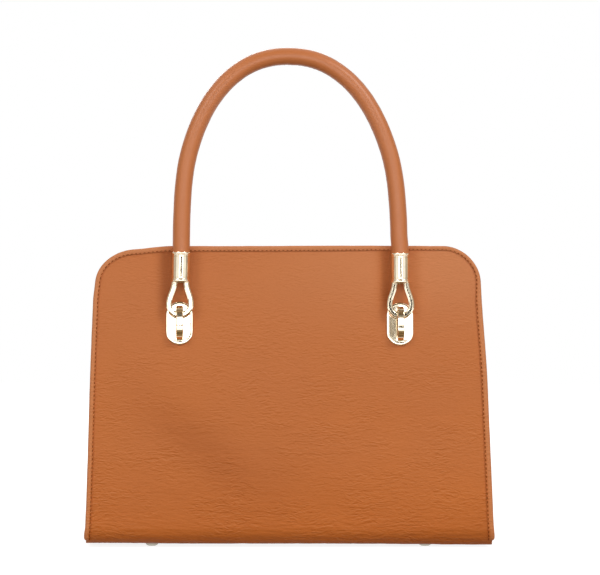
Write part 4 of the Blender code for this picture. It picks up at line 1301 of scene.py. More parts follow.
@dataclass(frozen=True)
class Walls(Part):
    """The folding side walls, the base and the lining between the two faces."""

    columns: int = 44
    step: float = 0.0026
    crumple: float = 0.0008
    cloth_fold: float = 0.0012
    rear_step: float = 0.0022
    wall_seam: float = 0.0025
    wall_pitch: float = 0.0036
    base_seam: float = 0.003
    base_pitch: float = 0.0043
    base_thread: float = 0.0008

    def levels(self, low: float) -> Points:
        """The heights of the rows of a side wall that lie above a height.

        Args:
            low: The height v that all of them are above.

        Returns:
            The heights v.
        """
        form = self.form
        roll = np.linspace(form.roll_end, form.face_start, 12, endpoint=False)
        flat = np.linspace(form.face_start, form.facing_bottom - form.gap, round(0.18 / self.step))
        levels = np.concatenate([roll, flat])
        return levels[levels > low]

    def wall(self, levels: Points, inset: float, x_sign: int, rear: Points | float) -> Points:
        """The grid of a side wall, front to rear, which folds inwards and dips in its middle.

        Args:
            levels: The heights of its rows.
            inset: How far inside the outline it stands.
            x_sign: -1 for the left wall and 1 for the right one.
            rear: How deep behind the rear leather it ends, at each row.

        Returns:
            The grid of points, one row for each height.
        """
        form = self.form
        x = form.side_x(levels, inset)
        start = form.wrap(Side.FRONT, x, levels, -form.inner_level)
        end = form.wrap(Side.FRONT, x, levels, -np.asarray(rear, float))
        y = start[:, 1, None] + (-end[:, 1] - start[:, 1])[:, None] * np.linspace(0, 1, self.columns + 1)
        z = np.broadcast_to(start[:, 2, None], y.shape)
        high = form.facing_bottom * math.cos(form.lean)
        rise = np.clip((z - form.roll_radius) / (high - form.roll_radius), 0, 1)
        shape = (1 - np.cos(math.pi * (y / start[:, 1, None] + 1))) / 2
        return np.stack([x_sign * (x[:, None] - form.fold_depth * rise * shape), y,
                         z - form.gusset_dip * rise**3 * shape], -1)

    def gusset(self, hand: Hand) -> None:
        """Makes one side wall, with its rims, its foot and its sewn top edge.

        Args:
            hand: Which side.
        """
        form = self.form
        levels = self.levels(-1.0)
        grid = self.wall(levels, form.edge + form.seam, hand.value, form.inner_level)
        rise = ramp(levels, 0.02, 0.06)[:, None]
        across = np.linspace(0, 1, self.columns + 1)
        middle = np.clip(4 * across * (1 - across), 0, 1) ** 0.7
        places = grid[..., 1:]
        lumps = field(places, (0.03, 0.022), 21.0 + hand.value) + 0.5 * field(places, (0.012, 0.006), 27.0)
        creases = 0.00022 * np.abs(field(places, (0.01, 0.0035), 31.0))
        grid[..., 0] += hand.value * middle * (self.crumple * (lumps * (0.4 + 0.6 * rise) - 0.6) - creases)
        front = form.wrap(Side.FRONT, form.side_x(levels, form.edge), levels, -form.inner_level)
        front[:, 0] *= hand.value
        rear = front * np.array([1.0, -1.0, 1.0])
        grid = np.concatenate([front[:, None], grid, rear[:, None]], axis=1)
        foot = grid[:1].copy()
        foot[..., 0] = front[0, 0]
        grid = np.concatenate([foot, grid])
        piece = Piece(f"{hand.word}_side_wall", self.finishes.leather)
        piece.add(grid, [face[::-hand.value] for face in grid_faces(*grid.shape[:2])])
        place(piece.build(60, WELD, form.leather), BAG, Slot.LEATHER, f"{hand.word}_gusset")
        out = np.array([float(hand.value), 0.0, 0.0])
        row = grid[-2 - round(self.wall_seam / self.step), 2:-2] + out * 2 * THREAD_SINK
        self.seams.sew(f"{hand.word}_side_wall_stitches", row, out, BAG, self.wall_pitch)

    def base(self) -> None:
        """Makes the base leather, with softly rounded edges and a seam along both sides."""
        form = self.form
        half_x = float(form.half_width(form.roll_end, form.edge))
        half_y = form.roll_centre - form.panel_lip - form.gap
        line = np.linspace(-half_x, half_x, 161)
        x, y = np.meshgrid(line, np.linspace(-half_y, half_y, 45))
        inside = np.minimum(half_x - np.abs(x), half_y - np.abs(y))
        soft = 1 - np.sqrt(np.clip(1 - (1 - np.clip(inside / 0.0012, 0, 1)) ** 2, 0, 1))
        sag = 0.00018 * field(np.stack([x, y], -1), (0.05, 0.04), 41.0) * ramp(inside, 0.004, 0.02)
        piece = Piece("base_leather", self.finishes.leather)
        lower, upper = 0.0005 * soft + sag, np.full_like(x, form.leather)
        shell(piece, np.stack([x, y, lower], -1), np.stack([x, y, upper], -1), -0.1)
        place(piece.build(50), BAG, Slot.LEATHER, "base_panel")
        for side in Side:
            y_line = -side.facing * (half_y - self.base_seam)
            points = np.array([(x, y_line, -THREAD_SINK) for x in line[3:-3]])
            self.seams.sew(f"base_stitches_{side.value}", points, (0, 0, -1), BAG, self.base_pitch, self.base_thread)

    def lining(self) -> None:
        """Makes the cloth lining, loose in soft folds, with a slot for the pocket's zip."""
        form = self.form
        slot, half_zip, columns = form.zip_slot / 2, form.zip_length / 2, 121
        edges = form.zip_v + np.array([-slot, slot, slot + form.tape_margin])
        levels = self.levels(form.roll_end + 0.0035)
        clear = np.abs(edges - levels[:, None]).min(1) > 0.0008
        levels = np.sort(np.concatenate([levels[clear], edges]))
        rear = form.inner_level + self.rear_step * (1 - ramp(levels, edges[2], form.facing_bottom))
        right = self.wall(levels, form.edge + form.seam + form.lining_side_gap, 1, rear)
        left = right[:, ::-1] * np.array([-1.0, 1.0, 1.0])
        share = np.linspace(-1, 1, columns)
        across = share * right[:, :1, 0]
        near = np.abs(levels - form.zip_v)
        for end in (-half_zip, half_zip):
            column = int(np.abs(across[near.argmin()] - end).argmin())
            across[:, column] = np.where(near < 2 * slot, end, across[:, column])
        z = np.broadcast_to(right[:, :1, 2], across.shape)
        front, back = (np.stack([across, np.broadcast_to(right[:, i, 1, None], z.shape), z], -1) for i in (0, -1))
        for wall, way, seed in ((front, 1, 51.0), (back, -1, 57.0)):
            places = wall[..., ::2]
            loose = field(places, (0.045, 0.12), seed) * 0.6 + 0.4 * field(places, (0.02, 0.05), seed + 1)
            hold = ramp(z, 0.006, 0.05) * ramp(-z, -0.19, -0.16) * ramp(-np.abs(across), -0.142, -0.12)
            if wall is back:
                hold = hold * ramp(near[:, None] - (np.abs(across) > half_zip + 0.02), 0.01, 0.03)
            wall[..., 1] += way * self.cloth_fold * np.clip(loose + 0.4, 0, 1) * hold
        slit = (levels > edges[0] - WELD) & (levels < edges[1] - WELD)
        kept = ~slit[:-1, None] | (np.abs(across[:-1, 1:] + across[:-1, :-1]) / 2 > half_zip)
        piece = Piece("lining_cloth_bag", self.finishes.lining)
        for grid, way in ((right, 1), (left, 1), (front[:, ::-1], -1), (back, -1)):
            faces = [face[::way] for face in grid_faces(*grid.shape[:2])]
            if grid is back:
                faces = [face for face, keep in zip(faces, kept.ravel()) if keep]
            piece.add(grid, faces)
        depth = np.linspace(0, 1, self.columns + 1)
        x = np.repeat(across[0][:, None], self.columns + 1, 1)
        y = np.broadcast_to(right[0, 0, 1] + (right[0, -1, 1] - right[0, 0, 1]) * depth, x.shape)
        sag = 0.0012 * np.clip(field(np.stack([x, y], -1), (0.05, 0.03), 61.0) + 0.3, 0, 1)
        border = np.minimum(np.minimum(depth, 1 - depth) * 4, (1 - np.abs(share))[:, None] * 12)
        floor = np.stack([x, y, z[0, 0] + sag * np.clip(border, 0, 1)], -1)
        piece.add(floor, grid_faces(*floor.shape[:2]))
        place(piece.build(60, 0.00004, form.lining, False), BAG, Slot.LINING, "lining")

    def build(self) -> None:
        """Makes the walls, the base and the lining."""
        for hand in Hand:
            self.gusset(hand)
        self.base()
        self.lining()


@dataclass(frozen=True)
class Hardware(Part):
    """The polished metal on the faces and under the base, and the magnetic snap."""

    plate_width: float = 0.0212
    plate_height: float = 0.0342
    plate_thickness: float = 0.0016
    plate_crown: float = 0.00012
    bail_width: float = 0.0056
    bail_squareness: float = 3.4
    bail_inner: float = 0.0092
    foot_radius: float = 0.005
    foot_flat: float = 0.0022
    foot_x: float = 0.1075
    foot_y: float = 0.036
    snap_radius: float = 0.009
    snap_drop: float = 0.02

    def pill(self, inset: float) -> Points:
        """Draws the outline of the plate.

        Args:
            inset: How far inside the plate's edge it runs.

        Returns:
            The (x, y) points.
        """
        radius, straight = self.plate_width / 2 - inset, (self.plate_height - self.plate_width) / 2
        top = [(radius * math.cos(a), straight + radius * math.sin(a)) for a in np.linspace(0, math.pi, 25)]
        return np.concatenate([top, -np.array(top)])

    def plate(self, side: Side, hand: Hand) -> None:
        """Makes a pill-shaped plate with a bevelled rim round a shallow flat.

        Args:
            side: The face that it is on.
            hand: The end of the handle.
        """
        foot = self.form.gap
        top = foot + self.plate_thickness
        steps = [(0.0006, foot), (0.0002, foot + 0.0002), (0.0, foot + 0.0005), (0.0, top - 0.0008),
                 (0.0001, top - 0.0005), (0.0003, top - 0.0003), (0.0006, top - 0.00018)]
        steps += [(inset, top - self.plate_crown * (1 - inset / 0.0106) ** 2)
                  for inset in (0.0009, 0.002, 0.0035, 0.0055, 0.008, 0.0102)]
        rings = np.array([np.column_stack([self.pill(inset), np.full(50, level)]) for inset, level in steps])
        piece = Piece(f"{side.value}_{hand.word}_pill_plate", self.finishes.metal)
        piece.add(moved(rings, self.form.anchor_matrix(side, hand)), bar_faces(len(steps), 50))
        place(piece.build(35), BAG, Slot.METAL, f"{side.value}_{hand.word}_plate")

    def bail(self, side: Side, hand: Hand) -> None:
        """Makes the staple of rounded bar that the link hangs on.

        Args:
            side: The face that it is on.
            hand: The end of the handle.
        """
        form = self.form
        top = self.bail_inner + form.bail_thickness / 2
        leg = (form.bail_height - form.bail_thickness) / 2
        angle = np.linspace(0, math.pi, 57)
        power = 2 / self.bail_squareness
        across = -np.sign(np.cos(angle)) * leg * np.abs(np.cos(angle)) ** power
        arch = np.stack([across, top * np.sin(angle) ** power], -1)
        line = np.concatenate([[[-leg, -form.leather]], arch, [[leg, -form.leather]]])
        points, faces = swept(line, bar(form.bail_thickness, self.bail_width, 0.0012, 0.0005))
        upright = Matrix(((0, 0, 1, 0), (1, 0, 0, 0), (0, 1, 0, 0), (0, 0, 0, 1)))
        piece = Piece(f"{side.value}_{hand.word}_staple", self.finishes.metal)
        piece.add(moved(points, form.anchor_matrix(side, hand) @ upright), faces)
        place(piece.build(30), BAG, Slot.METAL, f"{side.value}_{hand.word}_bail")

    def feet(self) -> None:
        """Makes the four domed feet."""
        form, radius = self.form, self.foot_radius
        low, lip = -form.foot_height, -form.gap - 0.0004
        rim = [(self.foot_flat + (radius - self.foot_flat) * math.cos(a), lip + (low - lip) * math.sin(a))
               for a in np.linspace(0, math.pi / 2, 9)]
        profile = [(0.0, -form.gap / 2), (radius - 0.0002, -form.gap / 2), (radius, -form.gap), *rim, (0.0, low)]
        points, faces = turned_shape(profile, 48)
        for side in Side:
            for hand in Hand:
                # The feet take the greyer metal that is darkened as painted shade.
                piece = Piece(f"{side.value}_{hand.word}_dome_foot", self.finishes.grey_shaded_foot_metal)
                piece.add(points + np.array([hand.value * self.foot_x, -side.facing * self.foot_y, 0.0]), faces)
                place(piece.build(40), BAG, Slot.METAL, f"foot_{side.value}_{hand.word}")

    def snap(self) -> None:
        """Makes the two halves of the magnetic snap."""
        form, radius = self.form, self.snap_radius
        socket = [(0.0, 0.0009), (0.0042, 0.0009), (0.0042, 0.0024), (0.0046, 0.0028), (radius - 0.001, 0.0028),
                  (radius - 0.0003, 0.0024), (radius, 0.0016), (radius, form.gap), (0.0, form.gap)]
        stud = [(0.0, 0.0038), (0.0026, 0.0038), (0.0034, 0.0035), (0.0036, 0.003), (0.0036, 0.0014),
                (radius - 0.0008, 0.0014), (radius - 0.0002, 0.0011), (radius, 0.0007), (radius, form.gap),
                (0.0, form.gap)]
        seat = Matrix.Translation((0, form.face_top - self.snap_drop, -form.stack)) @ Matrix.Rotation(math.pi, 4, "Y")
        for side, profile, word in ((Side.FRONT, socket, "socket"), (Side.REAR, stud, "stud")):
            points, faces = turned_shape(profile, 56)
            piece = Piece(f"magnetic_{word}", self.finishes.metal)
            piece.add(moved(points, form.face_matrix(side) @ seat), faces)
            place(piece.build(30), BAG, Slot.METAL, f"snap_{word}")

    def build(self) -> None:
        """Makes the plates, bails, feet and snap."""
        for side in Side:
            for hand in Hand:
                self.plate(side, hand)
                self.bail(side, hand)
        self.feet()
        self.snap()


@dataclass(frozen=True)
class Handle(SidePart):
    """One rolled handle: the sewn leather tube, and a ferrule and a drop link at each end."""

    standoff: float = 0.0066
    pivot_drop: float = 0.005
    link_width: float = 0.0043
    link_thickness: float = 0.0034
    link_radius: float = 0.0086
    link_neck: float = 0.0046
    link_length: float = 0.0259
    ferrule_length: float = 0.0232
    ferrule_radius: float = 0.0071
    ferrule_bore: float = 0.0065
    rim_radius: float = 0.0076
    radius: float = 0.0068
    leg: float = 0.0125
    rise: float = 0.1431
    squareness: float = 2.19
    sway: float = -0.0014
    lean: float = 0.0011
    lean_in: float = 0.00125
    ridge: float = 0.0006
    seam_turn: float = math.radians(-32)
    seam_spread: float = math.radians(11)
    seam_pitch: float = 0.004
    seam_thread: float = 0.0006
    seam_sink: float = 0.00008
    ring_step: float = 0.0013

    @property
    def body(self) -> str:
        """The CAD body of this handle."""
        return self.named("handle")

    @property
    def mouth(self) -> float:
        """How far up the handle its ferrules end."""
        return self.link_length + self.ferrule_length

    @property
    def spring(self) -> float:
        """How far up the handle its bend starts."""
        return self.mouth + self.leg

    @property
    def frame(self) -> Matrix:
        """The frame on the handle's swing axis.

        Returns:
            A matrix with X along the axis, Y up the handle and Z outwards.
        """
        form = self.form
        pivot_v = form.anchor_v + form.bail_height / 2 - form.bail_thickness - self.pivot_drop
        seat = Matrix.Translation((0, pivot_v, self.standoff))
        reach = math.hypot(self.rim_radius, self.link_length)
        back = math.atan2(self.rim_radius, self.link_length) - math.asin((self.standoff - form.gap) / reach)
        matrix = form.face_matrix(self.side) @ seat @ Matrix.Rotation(back, 4, "X")
        if self.side is Side.REAR:
            pivot = form.face_matrix(Side.FRONT) @ seat
            drop = pivot.translation.z + form.foot_height - self.radius - form.gap
            laid = math.pi + form.lean - back - math.acos(drop / (self.spring + self.rise))
            matrix = matrix @ Matrix.Rotation(laid, 4, "X")
        return matrix

    def leant(self, points: Points) -> Points:
        """Leans the legs inwards a little, as the play in their links lets them.

        Args:
            points: Points in the handle's own frame.

        Returns:
            The same points, leant.
        """
        made = np.array(points, float)
        x, up = made[..., 0], made[..., 1] - self.mouth
        inward = self.lean * np.clip(up / self.mouth + 1, 0, 1) * np.where(self.side.facing * x < 0, 1.0, 0.2)
        inward = inward + (self.lean_in - inward) * ramp(up, 0.0, 0.016)
        made[..., 0] = x - np.sign(x) * inward * (1 - ramp(up, 0.03, 0.078))
        return made

    def seated(self, points: Points, hand: Hand, turned: bool = False) -> Points:
        """Takes points of one end of the handle to their place on the bag.

        Args:
            points: The points about the end's own axis, which runs along Y.
            hand: Which end.
            turned: Whether that axis runs along Z, as a turned shape's does.

        Returns:
            The points in their place.
        """
        seat = Matrix.Translation((self.side.facing * hand.value * self.form.anchor_spacing / 2, 0, 0))
        turn = Matrix.Rotation(-math.pi / 2 if turned else 0.0, 4, "X")
        return moved(self.leant(moved(points, seat @ turn)), self.frame)

    def centre_line(self) -> tuple[Points, Points]:
        """The grip's centre line from one ferrule to the other, and its share of the radius.

        Returns:
            The (x, y) points, and the share at each.
        """
        half, mouth, spring = self.form.anchor_spacing / 2, self.mouth, self.spring
        low = [self.link_length + 0.0053, mouth - 0.0002, mouth + 0.0006, mouth + 0.0025]
        low += np.linspace(mouth + 0.004, spring, 12, endpoint=False).tolist()
        angle = np.linspace(0, math.pi / 2, 160)
        power = 2 / self.squareness
        arch = np.column_stack([half * np.cos(angle) ** power, spring + self.rise * np.sin(angle) ** power])
        right = np.concatenate([[(half, y) for y in low], arch])
        line = np.concatenate([right, right[-2::-1] * MIRROR])
        line[:, 0] += self.side.facing * self.sway * ramp(line[:, 1], spring - 0.01, spring + self.rise)
        line = self.leant(line)
        thin = (self.ferrule_bore - self.form.gap) / self.radius
        share = np.interp(line[:, 1], [mouth - 0.0002, mouth + 0.0008, mouth + 0.003], [thin, 0.985, 1.0])
        return line, share

    def grip(self) -> None:
        """Makes the leather tube by sweeping its section, with the sewn ridge on the inner side."""
        tree = Tree(self.named("rolled_handle"), Radius="Float", Ridge="Float", Step="Float")
        ridge = tree.input("Ridge")
        share = tree.node("GeometryNodeInputNamedAttribute", {"Name": "share"}, data_type="FLOAT").outputs[0]
        sized = tree.node("GeometryNodeSetCurveRadius", {0: tree.steps("Step"), "Radius": share}).outputs[0]
        feeds = {"Resolution": 84, "Radius": tree.input("Radius")}
        ring = tree.node("GeometryNodeCurvePrimitiveCircle", feeds, mode="RADIUS").outputs[0]
        where = tree.node("GeometryNodeInputPosition").outputs[0]
        unit = tree.node("ShaderNodeVectorMath", {0: where}, operation="NORMALIZE").outputs[0]
        crest = (math.sin(self.seam_turn), math.cos(self.seam_turn), 0.0)
        inner = tree.node("ShaderNodeVectorMath", {0: unit, 1: crest}, operation="DOT_PRODUCT").outputs["Value"]
        facing = tree.maths("MAXIMUM", inner, 0.0)
        peak = tree.times(tree.maths("POWER", facing, 170.0), ridge)
        groove = tree.times(tree.maths("POWER", facing, 40.0), tree.times(ridge, -0.35))
        feeds = {0: unit, "Scale": tree.maths("ADD", peak, groove)}
        shift = tree.node("ShaderNodeVectorMath", feeds, operation="SCALE").outputs[0]
        section = tree.node("GeometryNodeSetPosition", {0: ring, "Offset": shift}).outputs[0]
        tree.close(tree.node("GeometryNodeCurveToMesh", {0: sized, 1: section, "Fill Caps": True}).outputs[0])
        line, shares = self.centre_line()
        made = tree.run(self.named("rolled_grip"), np.column_stack([line, np.zeros(len(line))]), {"share": shares},
                        Radius=self.radius, Ridge=self.ridge, Step=self.ring_step, Material=self.finishes.handle)
        self.crease(made.data)
        made.data.transform(self.frame)
        tidy_mesh(made.data, WELD, False)
        made.data.shade_smooth()
        place(made, self.body, Slot.LEATHER, self.named("handle_cover"))
        self.seam(line)

    def crease(self, mesh: bpy.types.Mesh) -> None:
        """Presses small creases into the inner side of the bend, and gives each point its tone.

        Args:
            mesh: The tube, in the handle's own frame.
        """
        points, normals = np.zeros((2, len(mesh.vertices) * 3))
        mesh.vertices.foreach_get("co", points)
        mesh.vertices.foreach_get("normal", normals)
        points, normals = points.reshape(-1, 3), normals.reshape(-1, 3)
        away = (points - (0.0, self.spring, 0.0)) * (1, 1, 0)
        inward = np.clip(-(normals * away).sum(1) / np.maximum(np.linalg.norm(away, axis=1), WELD), 0, 1)
        angle = np.arctan2(away[:, 1], away[:, 0]) * 0.1
        bend = ramp(points[:, 1], self.spring - 0.005, self.spring + 0.03)
        across = field(np.column_stack([angle, points[:, 2]]), (0.0035, 0.012), 71.0)
        push = 0.00016 * across * inward**2 * bend + 0.0001 * field(points, (0.012, 0.012, 0.012), 75.0)
        mesh.vertices.foreach_set("co", (points + normals * push[:, None]).ravel())
        set_tone(mesh, -0.12 * inward**3)

    def seam(self, line: Points) -> None:
        """Sews both flanks of the ridge along the inner side of the grip.

        Args:
            line: The centre line.
        """
        kept = line[line[:, 1] > self.mouth + 0.004]
        tangent = unit(np.gradient(kept, axis=0))
        inwards = np.stack([-tangent[:, 1], tangent[:, 0]], -1)
        if inwards[0, 0] * kept[0, 0] > 0:
            inwards = -inwards
        for word, way in (("outer", 1.0), ("inner", -1.0)):
            tilt = self.seam_turn + way * self.seam_spread
            radial = np.column_stack([inwards * math.cos(tilt), np.full(len(kept), math.sin(tilt))])
            points = np.column_stack([kept, np.zeros(len(kept))]) + radial * (self.radius - self.seam_sink)
            points, out = moved(points, self.frame), radial @ np.array(self.frame)[:3, :3].T
            name = self.named(f"grip_stitches_{word}")
            self.seams.sew(name, points, out, self.body, self.seam_pitch, self.seam_thread)

    def ferrule(self, hand: Hand) -> None:
        """Makes a sleeve with a rim at each end and a fine groove beside each rim.

        Args:
            hand: Which end of the handle.
        """
        low, high = self.link_length, self.mouth
        tube, rim, bore = self.ferrule_radius, self.rim_radius, self.ferrule_bore
        steps = [(bore, 0.0004), (bore + 0.0003, 0.0), (rim - 0.0004, 0.0), (rim - 0.0001, 0.0002), (rim, 0.0006),
                 (rim, 0.0012), (rim - 0.0001, 0.0016), (tube + 0.0001, 0.0018), (tube, 0.0021), (tube, 0.0031),
                 (tube - 0.0002, 0.0033), (tube - 0.0002, 0.0036), (tube, 0.0038)]
        upper = [(r, high - drop) for r, drop in steps]
        points, faces = turned_shape(upper + [(r, low + drop) for r, drop in reversed(steps)], 72)
        piece = Piece(self.named(f"{hand.word}_sleeve"), self.finishes.sleeve)
        piece.add(self.seated(points, hand, True), faces)
        place(piece.build(40), self.body, Slot.METAL, self.named(f"{hand.word}_ferrule"))

    def link(self, hand: Hand) -> None:
        """Makes the drop link: a flat-faced bar bent into an eye, and the plug above it.

        Args:
            hand: Which end of the handle.
        """
        radius, neck, length, plug = self.link_radius, self.link_neck, self.link_length, self.ferrule_bore - 0.0001
        right = [(radius * math.cos(a), radius * (1 + math.sin(a))) for a in np.linspace(-math.pi / 2, 0, 17)]
        for share in np.linspace(0, 1, 17)[1:]:
            blend = (1 + math.cos(math.pi * share)) / 2
            right.append((neck + (radius - neck) * blend, radius + (length - radius) * share))
        right.append((neck, length + 0.0025))
        line = np.array([(-x, y) for x, y in reversed(right)] + right[1:])
        points, faces = swept(line, bar(self.link_width, self.link_thickness, 0.0011, 0.0008))
        piece = Piece(self.named(f"{hand.word}_drop_link"), self.finishes.metal)
        piece.add(self.seated(points, hand), faces)
        profile = [(0.0, 0.0045), (plug, 0.0045), (plug, 0.0009), (plug - 0.0003, 0.0006), (0.0, 0.0006)]
        points, faces = turned_shape([(r, length + high) for r, high in profile], 48)
        piece.add(self.seated(points, hand, True), faces)
        place(piece.build(30), self.body, Slot.METAL, self.named(f"{hand.word}_link"))

    def build(self) -> None:
        """Makes the grip and both of its ends."""
        self.grip()
        for hand in Hand:
            self.ferrule(hand)
            self.link(hand)


@dataclass(frozen=True)
class ZipPocket(Part):
    """The zipped pocket's tape, teeth and welt on the rear lining."""

    tape_level: float = 0.0043
    tape: float = 0.0006
    lining_level: float = 0.0052
    pitch: float = 0.0025
    tooth: float = 0.003
    tooth_offset: float = 0.0005
    welt_width: float = 0.007
    welt: float = 0.0008
    seam_pitch: float = 0.0032
    seam_thread: float = 0.0006

    @property
    def frame(self) -> Matrix:
        """The frame of the zip on the rear leather: X along it, Y up and Z out of the bag."""
        return self.form.face_matrix(Side.REAR) @ Matrix.Translation((0, self.form.zip_v, 0))

    def ribbon(self) -> None:
        """Makes the woven tape, with the thicker bead beside the teeth."""
        form = self.form
        half_x = form.zip_length / 2 + form.tape_margin
        half_y = form.zip_slot / 2 + form.tape_margin - 0.0003
        x, y = np.meshgrid(np.linspace(-half_x, half_x, 121), np.linspace(-half_y, half_y, 41))
        bead = 0.0004 * bell(np.abs(y) - 0.0009, 0.0006)
        piece = Piece("zip_tape", self.finishes.tape)
        levels = (-self.tape_level - self.tape - bead, np.full_like(x, -self.tape_level))
        shell(piece, *(moved(np.stack([x, y, level], -1), self.frame) for level in levels))
        place(piece.build(40), BAG, Slot.LINING, "zip_chain")

    def teeth(self) -> None:
        """Makes the closed teeth, set from alternate sides along the tape."""
        tree = Tree("zip_teeth", Pitch="Float", Offset="Float", Size="Vector")
        odd = tree.maths("MODULO", tree.node("GeometryNodeInputIndex").outputs[0], 2.0)
        way = tree.maths("SUBTRACT", tree.times(odd, 2.0), 1.0)
        aside = tree.node("ShaderNodeCombineXYZ", {1: tree.times(way, tree.input("Offset"))}).outputs[0]
        apart = tree.node("GeometryNodeSetPosition", {0: tree.steps("Pitch"), "Offset": aside}).outputs[0]
        tooth = tree.node("GeometryNodeJoinGeometry")
        for kind, sizes in (("Cube", {"Size": (1.0, 1.0, 1.0)}),
                            ("UVSphere", {"Segments": 6, "Rings": 4, "Radius": 0.42})):
            tree.feed(tooth, {0: tree.node(f"GeometryNodeMesh{kind}", sizes).outputs[0]})
        tree.close(tree.set_out(apart, Instance=tooth.outputs[0], Scale=tree.input("Size")), smooth=False)
        reach = self.form.zip_length / 2 - 0.003
        level = -self.lining_level - self.form.lining - 0.0004
        line = np.array([(x, 0.0, level) for x in np.linspace(-reach, reach, 60)])
        made = tree.run("zip_teeth", line, {}, Pitch=self.pitch / 2, Offset=self.tooth_offset,
                        Size=(self.pitch * 0.36, self.tooth, 0.0018), Material=self.finishes.metal)
        made.data.transform(self.frame)
        place(made, BAG, Slot.METAL)

    def ring(self, out: float, radius: float, steps: int) -> Line:
        """The slot's outline moved outwards, with rounded corners."""
        x, y = self.form.zip_length / 2 + out, self.form.zip_slot / 2 + out
        return rounded([(x, y), (-x, y), (-x, -y), (x, -y)], radius, steps, True)

    def frame_welt(self) -> None:
        """Makes the leather frame round the slot, with its stitches."""
        wide, top = self.welt_width, -(self.lining_level + self.form.lining + self.form.gap)
        steps = ((0.0, 0.0), (0.0, 0.6), (0.0005, 1.0), (wide - 0.0008, 1.0), (wide, 0.4), (wide, 0.0))
        grid = np.array([[(x, y, top - depth * self.welt) for x, y in self.ring(out, 0.0004 + 0.4 * out, 4)]
                         for out, depth in steps])
        piece = Piece("zip_frame_leather", self.finishes.inside)
        piece.add(moved(grid, self.frame), grid_faces(*grid.shape[:2], True, True))
        place(piece.build(45), BAG, Slot.LEATHER, "zip_welt")
        ring = self.ring(wide * 0.55, 0.002, 6)
        level = top - self.welt - 0.00005
        line = []
        for (x0, y0), (x1, y1) in zip(ring, ring[1:] + ring[:1]):
            count = max(1, round(math.hypot(x1 - x0, y1 - y0) / 0.002))
            line += [(x0 + (x1 - x0) * i / count, y0 + (y1 - y0) * i / count, level) for i in range(count)]
        points, inward = moved(np.array([*line, line[0]]), self.frame), -np.array(self.frame)[:3, 2]
        self.seams.sew("zip_frame_stitches", points, inward, BAG, self.seam_pitch, self.seam_thread)

    def build(self) -> None:
        """Makes the tape, the teeth and the welt."""
        self.ribbon()
        self.teeth()
        self.frame_welt()


def dress_inner_nodes(finishes: Finishes) -> None:
    """Gives every CAD node that stays its finish, and the board's painted edge the leather's.

    Args:
        finishes: The bag's finishes.
    """
    by_slot = {Slot.LEATHER: finishes.inside, Slot.BOARD: finishes.board, Slot.LINING: finishes.lining,
               Slot.ROPE: finishes.rope, Slot.METAL: finishes.metal, Slot.STEEL: finishes.steel}
    slots = {row["node"]: Slot(row["material_slot"]) for row in frame["record"]["subparts"]}
    for name, node in frame["nodes"].items():
        if not node.hide_render:
            node.data.materials.clear()
            node.data.materials.append(finishes.leather if name == "base_board" else by_slot[slots[name]])
            LOG.info("%s keeps its solid with the finish of %s", name, slots[name].value)


